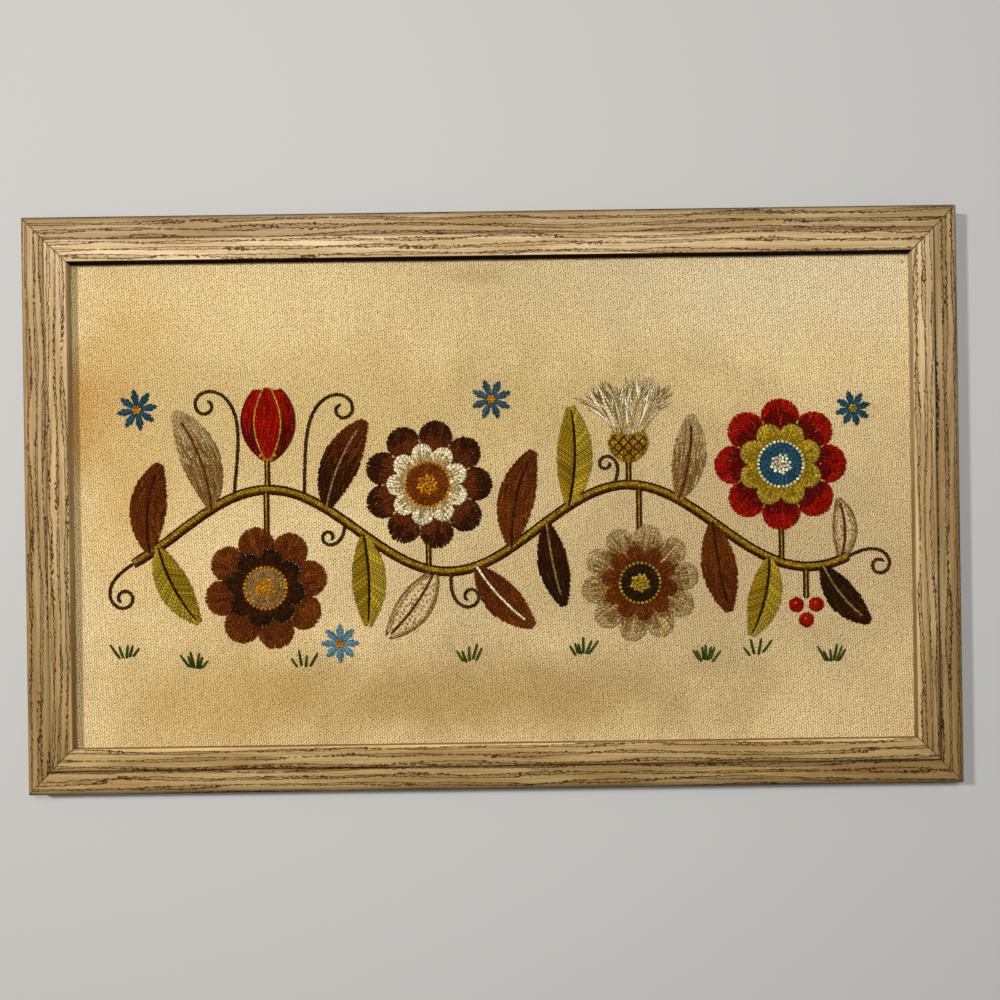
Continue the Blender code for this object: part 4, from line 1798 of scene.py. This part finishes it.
    def leaves(self) -> None:
        """Works each leaf in its own fill, with a midrib over it."""
        fills = {
            Fill.LONG_AND_SHORT: (self.long_and_short, 0.86, 1.15),
            Fill.FISHBONE: (self.fishbone, 0.95, 0.65),
            Fill.SEEDED: (self.seeded, 0.95, 0.0),
        }
        for count, leaf in enumerate(self.LEAVES):
            rng = np.random.default_rng(100 + count)
            x, y = self.vine_point(leaf.along)
            heading = self.vine_heading(leaf.along) + math.radians(leaf.side * leaf.lean)
            blade = Blade(x, y, heading, leaf.length, leaf.width, math.radians(leaf.bend))
            work, rib_end, level = fills[leaf.fill]
            work(blade, "leaf", leaf.first, leaf.second, rng)
            rib = blade.at(np.linspace(0.0, rib_end, 40), 0.0)
            self.stem_stitch(self.skein("leaf_rib", leaf.rib), rib, rng, self.RIB, level=level)

    def reach(self, petals: int, radius: float, turn: float, angle: np.ndarray) -> np.ndarray:
        """The radius of a ring of round petals, which dips between each two to notch of itself."""
        swell = np.abs(np.cos(petals * (angle - math.radians(turn)) / 2)) ** 0.5
        return radius * (self.notch + (1 - self.notch) * swell)

    def ring(
        self,
        blossom: Blossom,
        motif: str,
        inner: Outline,
        outer: Outline,
        dyes: tuple[Dye, Dye],
        rng: np.random.Generator,
        level: float,
    ) -> None:
        """Fills a ring with rows of stitches that point to the flower's middle.

        Args:
            blossom: the flower.
            motif: the name that the skeins start with.
            inner: the ring's inner radius at an angle.
            outer: its outer radius at an angle.
            dyes: the dye at the rim and the one further in.
            rng: the motif's random numbers.
            level: how high the stitches start.
        """
        typical = np.linspace(0, 2 * np.pi, 90)
        near, far = inner(typical), outer(typical)
        rows = max(1, round(float(np.mean(far - near)) / (STITCH_LENGTH * 0.92)))
        centre = np.array([blossom.x, blossom.y])
        for row in range(rows):
            low, high = row / rows, (row + 1) / rows
            radius = float(np.mean(near + (far - near) * high))
            n = int(2 * np.pi * radius * 0.985 / STRAND_PITCH)
            angle = np.arange(n) + 0.5 * (row % 2) + rng.uniform(-0.16, 0.16, n)
            angle = 2 * np.pi * angle / n
            q_low = low + rng.uniform(-0.50, -0.06, n) / rows * (1.0 if row else 0.15)
            if row == rows - 1:
                q_high = high + rng.uniform(-0.02, 0.03, n)
            else:
                q_high = high + rng.uniform(-0.10, 0.34, n) / rows
            start, depth = inner(angle), outer(angle) - inner(angle)
            lean = rng.uniform(-0.5, 0.5, n) / radius
            a = centre + toward(angle - lean) * (start + depth * q_low)[:, None]
            b = centre + toward(angle + lean) * (start + depth * q_high)[:, None]
            xy = self.straight(a, b)
            place = (q_low + q_high) / 2
            rim = rng.uniform(0, 1, n) < np.clip((place - 0.42) * 3.2 + 0.25, 0.03, 0.98)
            tone = tones(rng, n, 0.26)
            bulge = level + 0.45 * np.sin(np.pi * np.clip(place, 0, 1))
            width = STRAND_WIDTH * rng.uniform(0.92, 1.06, n)
            for dye, own in zip(dyes, (rim, ~rim)):
                skein = self.skein(motif, dye)
                skein.lay(xy[own], tone[own], 0.40, width[own], STRAND_RISE, bulge[own])

    def blossoms(self) -> None:
        """Works the blossoms: two rings of petals, a closely worked eye and a heart of knots."""
        for count, flower in enumerate(self.BLOSSOMS):
            rng = np.random.default_rng(200 + count)
            petals, radius = flower.petals, flower.radius
            eye, heart = radius * self.eye_ring, radius * self.heart_ring
            rim = partial(self.reach, petals, radius, flower.turn)
            crown = partial(
                self.reach, petals, radius * self.inner_ring, flower.turn + 180 / petals
            )
            socket = partial(np.full_like, fill_value=eye)
            core = partial(np.full_like, fill_value=0.35 * heart)
            self.ring(flower, "petal", crown, rim, (flower.rim, flower.petal), rng, 0.15)
            self.ring(flower, "crown", socket, crown, (flower.ring, flower.ring_deep), rng, 0.55)
            self.ring(flower, "eye", core, socket, (flower.eye, flower.eye), rng, 0.80)
            self.partings(flower, crown, rim, rng)
            self.heart(flower, heart, eye, rng)

    def partings(
        self, flower: Blossom, inner: Outline, outer: Outline, rng: np.random.Generator
    ) -> None:
        """Works a line down between each two petals.

        Args:
            flower: the blossom.
            inner: the outline that the lines start at.
            outer: the outline that they run to.
            rng: the motif's random numbers.
        """
        turn = 2 * np.pi * (np.arange(flower.petals) + 0.5) / flower.petals
        angles = np.radians(flower.turn) + turn
        centre = np.array([flower.x, flower.y])
        dye = flower.ring_deep if flower.rim is not Dye.RED else Dye.STRAW
        for angle, near, far in zip(angles, inner(angles) + 0.5, outer(angles) + 0.6):
            path = centre + toward(angle) * np.linspace(near, far, 12)[:, None]
            self.stem_stitch(self.skein("parting", dye), path, rng, self.PARTING, level=0.85)

    def heart(self, flower: Blossom, radius: float, eye: float, rng: np.random.Generator) -> None:
        """Works the heart's knots, in a spiral as in a sunflower, and knots round the eye.

        Args:
            flower: the blossom.
            radius: the heart's radius.
            eye: the eye's radius.
            rng: the motif's random numbers.
        """
        number = np.arange(1, 27)
        out = radius * 1.02 * np.sqrt((number - 0.5) / len(number))
        centre = np.array([flower.x, flower.y])
        places = centre + toward(number * math.pi * (3 - math.sqrt(5))) * out[:, None]
        skein = self.skein("heart", flower.heart)
        self.knots(skein, places, rng, 1.15, 1.3)
        around = int(2 * math.pi * eye / 2.9)
        rim = centre + toward(2 * np.pi * np.arange(around) / around) * eye
        self.knots(skein, rim, rng, 1.0, 1.0)

    def daisies(self) -> None:
        """Works the daisies: five straight stitches a petal and a heart of knots."""
        spread = np.arange(-2, 3)
        for count, daisy in enumerate(self.DAISIES):
            rng = np.random.default_rng(300 + count)
            centre = np.array([daisy.x, daisy.y])
            petal = math.radians(daisy.turn) + 2 * np.pi * np.arange(daisy.petals) / daisy.petals
            angle = (petal[:, None] + spread * 0.012).ravel()
            fan = np.tile(spread * 1.02, daisy.petals)[:, None]
            length = np.tile([0.74, 0.93, 1.0, 0.93, 0.74], daisy.petals) * daisy.radius
            length = (length + rng.uniform(-0.4, 0.4, len(length)))[:, None]
            ahead, aside = toward(angle), toward(angle + np.pi / 2)
            a = centre + ahead * 2.6 + aside * fan * 0.30
            b = centre + ahead * length + aside * fan
            tone = tones(rng, len(a), 0.28)
            self.skein("daisy", daisy.petal).lay(self.straight(a, b), tone, 0.55, 1.25, 0.9)
            around = centre + 2.2 * toward(np.arange(6) * np.pi / 3)
            places = np.concatenate([centre[None], around])
            self.knots(self.skein("daisy_heart", daisy.heart), places, rng, 1.0, 0.5)

    def tulip(self) -> None:
        """Works the tulip: two side petals from wine to red, and a red one over them.

        The side petals have a wine edge outside, and the middle one has straw edges.
        """
        x, y, length, width = self.TULIP
        rng = np.random.default_rng(400)
        s = np.linspace(0.03, 0.97, 40)
        for lean, first, level in ((1, Dye.WINE, 0.0), (-1, Dye.WINE, 0.0), (0, Dye.RED, 0.9)):
            heading, bend = math.radians(90 + 24 * lean), math.radians(-34 * lean)
            blade = Blade(x, y, heading, length, width if lean else width * 0.8, bend)
            self.long_and_short(blade, "tulip", first, Dye.RED, rng, level)
            skein = self.skein("tulip_edge", Dye.WINE if lean else Dye.STRAW)
            for side in (lean,) if lean else (1, -1):
                edge = blade.at(s, side * (blade.half(s) - 0.2))
                self.stem_stitch(skein, edge, rng, self.TULIP_EDGE, level=level + 0.35)
        across = np.array([-5.0, -2.6, 0.0, 2.6, 5.0])
        base = np.column_stack([x + across, y + np.array([3.0, 0.6, -0.2, 0.6, 3.0])])
        self.knots(self.skein("tulip_base", Dye.GOLD), base, rng, 1.2, 1.2)

    def disc(
        self,
        skein: Skein,
        centre: np.ndarray,
        radius: float,
        turn: float,
        rng: np.random.Generator,
        dome: float,
    ) -> None:
        """Fills a disc with parallel satin stitches over a padding.

        Args:
            skein: where the strands go.
            centre: the disc's middle.
            radius: its radius.
            turn: the stitches' direction, in radians.
            rng: the motif's random numbers.
            dome: how high the padding is in the middle.
        """
        off = np.arange(-radius + 0.5, radius, STRAND_PITCH * 0.94)
        reach = np.sqrt(np.maximum(radius**2 - off**2, 0.2)) + rng.uniform(-0.2, 0.2, len(off))
        middle = centre + toward(turn + np.pi / 2) * off[:, None]
        half = toward(turn) * reach[:, None]
        lift = 0.35 + dome * (1 - (off / radius) ** 2)
        tone = tones(rng, len(off), 0.22, 0.55)
        skein.lay(self.straight(middle - half, middle + half), tone, lift, 1.3, 0.9)

    def thistle(self) -> None:
        """Works the thistle: a mustard cup under a dark trellis, and a loose pale tuft."""
        x, y, radius = self.THISTLE
        centre = np.array([x, y])
        pitch = 5.0
        rng = np.random.default_rng(500)
        blade = Blade(x, y - radius - 0.5, math.pi / 2, 2 * radius + 1, 2 * radius + 1, 0, 0, 0.5)
        self.long_and_short(blade, "thistle", Dye.MUSTARD, Dye.STRAW, rng, 0.35)
        for slope in (math.pi / 4, 3 * math.pi / 4):
            ahead = toward(slope)
            off = np.arange(-2 * pitch, 2 * pitch + 0.1, pitch)
            reach = np.sqrt(radius**2 - off**2) - 0.2
            middle = centre + toward(slope + np.pi / 2) * off[:, None]
            top = (y + self.tuft_foot - middle[:, 1]) / ahead[1]
            a = middle - ahead * reach[:, None]
            b = middle + ahead * np.minimum(reach, top)[:, None]
            skein = self.skein("thistle_trellis", Dye.NEARLY_BLACK)
            tone = rng.uniform(0, 1, len(off))
            skein.lay(self.straight(a, b), tone, 0.45, 1.1, 0.75, 1.35)
        i, j = np.mgrid[-2:3, -2:3].reshape(2, -1)
        inside = (i * i + j * j) * pitch**2 < (radius - 2) ** 2
        knots = np.column_stack([i - j, i + j])[inside] * pitch / math.sqrt(2)
        knots = knots[knots[:, 1] < self.tuft_foot - 1.0]
        self.knots(self.skein("thistle_knot", Dye.RED), centre + knots, rng, 0.8, 2.3)
        self.tuft(x, y, rng)

    def tuft(self, x: float, y: float, rng: np.random.Generator) -> None:
        """Lays the loose strands of the tuft, fanning upwards and waving, free at their ends.

        Args:
            x: the thistle's middle.
            y: the thistle's middle.
            rng: the motif's random numbers.
        """
        m = 15
        t = np.linspace(0, 1, m)
        taper = np.concatenate([[0.7], np.ones(m - 5), [0.9, 0.75, 0.55, 0.3]])
        for layer, (n, dye, width) in enumerate(self.TUFT):
            share = rng.uniform(-1, 1, n)
            turn = math.radians(90) - math.radians(36) * share[:, None]
            length = rng.uniform(24, 40, n)
            foot_x = x + share * 9.5
            foot_y = y + self.tuft_foot + 2.2 * np.abs(share) + rng.uniform(-1.0, 1.0, n)
            swing = rng.uniform(0.3, 1.5, (n, 1))
            wave = t * rng.uniform(4, 9, (n, 1)) + rng.uniform(0, 6, (n, 1))
            swing = swing * np.sin(wave) * t
            curl = rng.uniform(-0.35, 0.35, (n, 1)) * t**2
            way = length[:, None] * t
            xx = foot_x[:, None] + way * np.cos(turn + curl) - swing * np.sin(turn)
            yy = foot_y[:, None] + way * np.sin(turn + curl) + swing * np.cos(turn)
            rest = 0.15 + 0.42 * layer + rng.uniform(0, 0.5, (n, 1))
            rest = rest + rng.uniform(0, 1.0, (n, 1)) * t**3 * (layer > 0)
            height = np.maximum(rest, 1.9 - 0.30 * way)
            tone = rng.uniform(0, 1, n)
            xy = np.stack([xx, yy], 2)
            skein = self.skein("thistle_tuft", dye)
            skein.lay(xy, tone, 0.0, width, 0.8, height=height, taper=taper)

    def berries(self) -> None:
        """Works the berries in padded satin stitch, each with a pale knot."""
        rng = np.random.default_rng(600)
        for count, (x, y, radius) in enumerate(self.BERRIES):
            centre = np.array([x, y])
            self.disc(self.skein("berry", Dye.RED), centre, radius, 0.5 + count, rng, 1.1)
            dot = centre[None] + (-1.0, 1.2)
            self.knots(self.skein("berry_dot", Dye.GOLD), dot, rng, 0.8, 1.9)

    def grass(self) -> None:
        """Works the grass: pairs of straight strands that fan up from one foot."""
        rng = np.random.default_rng(700)
        skein = self.skein("grass", Dye.GREEN)
        for x, y, blades in self.GRASS:
            lean = np.linspace(-0.55, 0.55, blades) + rng.uniform(-0.12, 0.12, blades)
            foot_x = x + np.linspace(-4.5, 4.5, blades)
            foot = np.stack([foot_x, y + rng.uniform(-1.2, 1.2, blades)], 1)
            length = rng.uniform(7.0, 13.0, blades)
            tip = foot + toward(np.pi / 2 - lean) * length[:, None]
            for shift in (-0.45, 0.45):
                move = np.array([shift, 0.0])
                xy = self.straight(foot + move, tip + move * 0.4)
                skein.lay(xy, rng.uniform(0, 1, blades), 0.5, 1.25, 0.8)

    def build(self) -> list[bpy.types.Object]:
        """Works every motif and makes the skeins.

        Returns:
            The pieces of wool.
        """
        for work in (
            self.vine,
            self.stalks,
            self.tendrils,
            self.leaves,
            self.blossoms,
            self.daisies,
            self.tulip,
            self.thistle,
            self.berries,
            self.grass,
        ):
            work()
        finishes = {dye: Wool(dye).material() for dye in Dye}
        made = []
        for skein in self.skeins.values():
            piece = skein.mesh()
            if piece is None:
                continue
            dress(piece, "crewel_wool", finishes[skein.dye])
            made.append(piece)
        return made


# ---------------------------------------------------------------------------------------------
# The studio
# ---------------------------------------------------------------------------------------------


@dataclass
class Studio:
    """The floor, the lights and the camera."""

    floor_size: float = 6.0
    camera_height: float = 0.753
    camera_x: float = 0.0337
    camera_y: float = -0.0578
    camera_roll: float = -0.810
    lens: float = 37.617
    shift_x: float = -0.04115
    shift_y: float = 0.08117
    key_power: float = 46.5
    key_size: float = 0.22
    key_from: tuple[float, float, float] = (-1.45, 0.45, 1.95)
    key_colour: tuple[float, float, float] = (1.0, 0.97, 0.93)
    fill_power: float = 14.0
    fill_size: float = 0.5
    fill_from: tuple[float, float, float] = (0.10, 0.25, 1.45)
    world_strength: float = 0.19

    def floor(self) -> bpy.types.Object:
        """Lays the plain pale floor under the picture.

        Returns:
            The floor.
        """
        half = self.floor_size / 2
        points = np.array([(-1, -1, 0), (1, -1, 0), (1, 1, 0), (-1, 1, 0)], float) * half
        made = mesh_piece("floor", points, np.array([(0, 1, 2, 3)]))
        made.data.materials.append(PaleFloor().material())
        made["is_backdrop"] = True
        return made

    def light(self, name: str, place: tuple, power: float, size: float, colour: tuple) -> None:
        """Hangs a square lamp that points at the picture's middle.

        Args:
            name: the lamp's name.
            place: where it hangs.
            power: its power in watts.
            size: the length of its side.
            colour: its red, green and blue.
        """
        lamp = bpy.data.lights.new(name, "AREA")
        lamp.energy = power
        lamp.size = size
        lamp.color = colour
        holder = linked(name, lamp)
        holder.location = place
        holder.rotation_euler = (-holder.location).to_track_quat("-Z", "Y").to_euler()

    def camera(self) -> None:
        """Sets the camera above the picture, looking straight down at it and turned a little."""
        data = bpy.data.cameras.new("camera")
        data.lens = self.lens
        data.sensor_width = 36.0
        data.shift_x, data.shift_y = self.shift_x, self.shift_y
        data.clip_start, data.clip_end = 0.01, 50.0
        holder = linked("camera", data)
        holder.location = (self.camera_x, self.camera_y, self.camera_height)
        holder.rotation_euler = (0.0, 0.0, math.radians(self.camera_roll))
        bpy.context.scene.camera = holder

    def build(self) -> None:
        """Sets up the floor, the lamps, the even light of the room and the camera."""
        self.floor()
        self.light("key", self.key_from, self.key_power, self.key_size, self.key_colour)
        self.light("fill", self.fill_from, self.fill_power, self.fill_size, (1.0, 1.0, 1.0))
        world = bpy.data.worlds.new("room")
        world.use_nodes = True
        back = world.node_tree.nodes["Background"]
        back.inputs["Color"].default_value = (0.95, 0.97, 1.0, 1.0)
        back.inputs["Strength"].default_value = self.world_strength
        bpy.context.scene.world = world
        bpy.context.scene.view_settings.view_transform = "Standard"
        self.camera()


def main() -> None:
    logging.basicConfig(level=logging.INFO, format="%(name)s: %(message)s")
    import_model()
    Moulding().build()
    board = Hardboard().material()
    for place in bpy.data.objects["backing_panel"].material_slots:
        place.material = board
    cloth = StretchedCloth()
    twill = cloth.build()
    wool = Embroidery(cloth.face_height()).build()
    Studio().build()
    triangles = sum(len(p.data.polygons) * 2 for p in wool)
    log.info("wool: %d pieces, about %d triangles", len(wool), triangles)


if __name__ == "__main__":
    main()
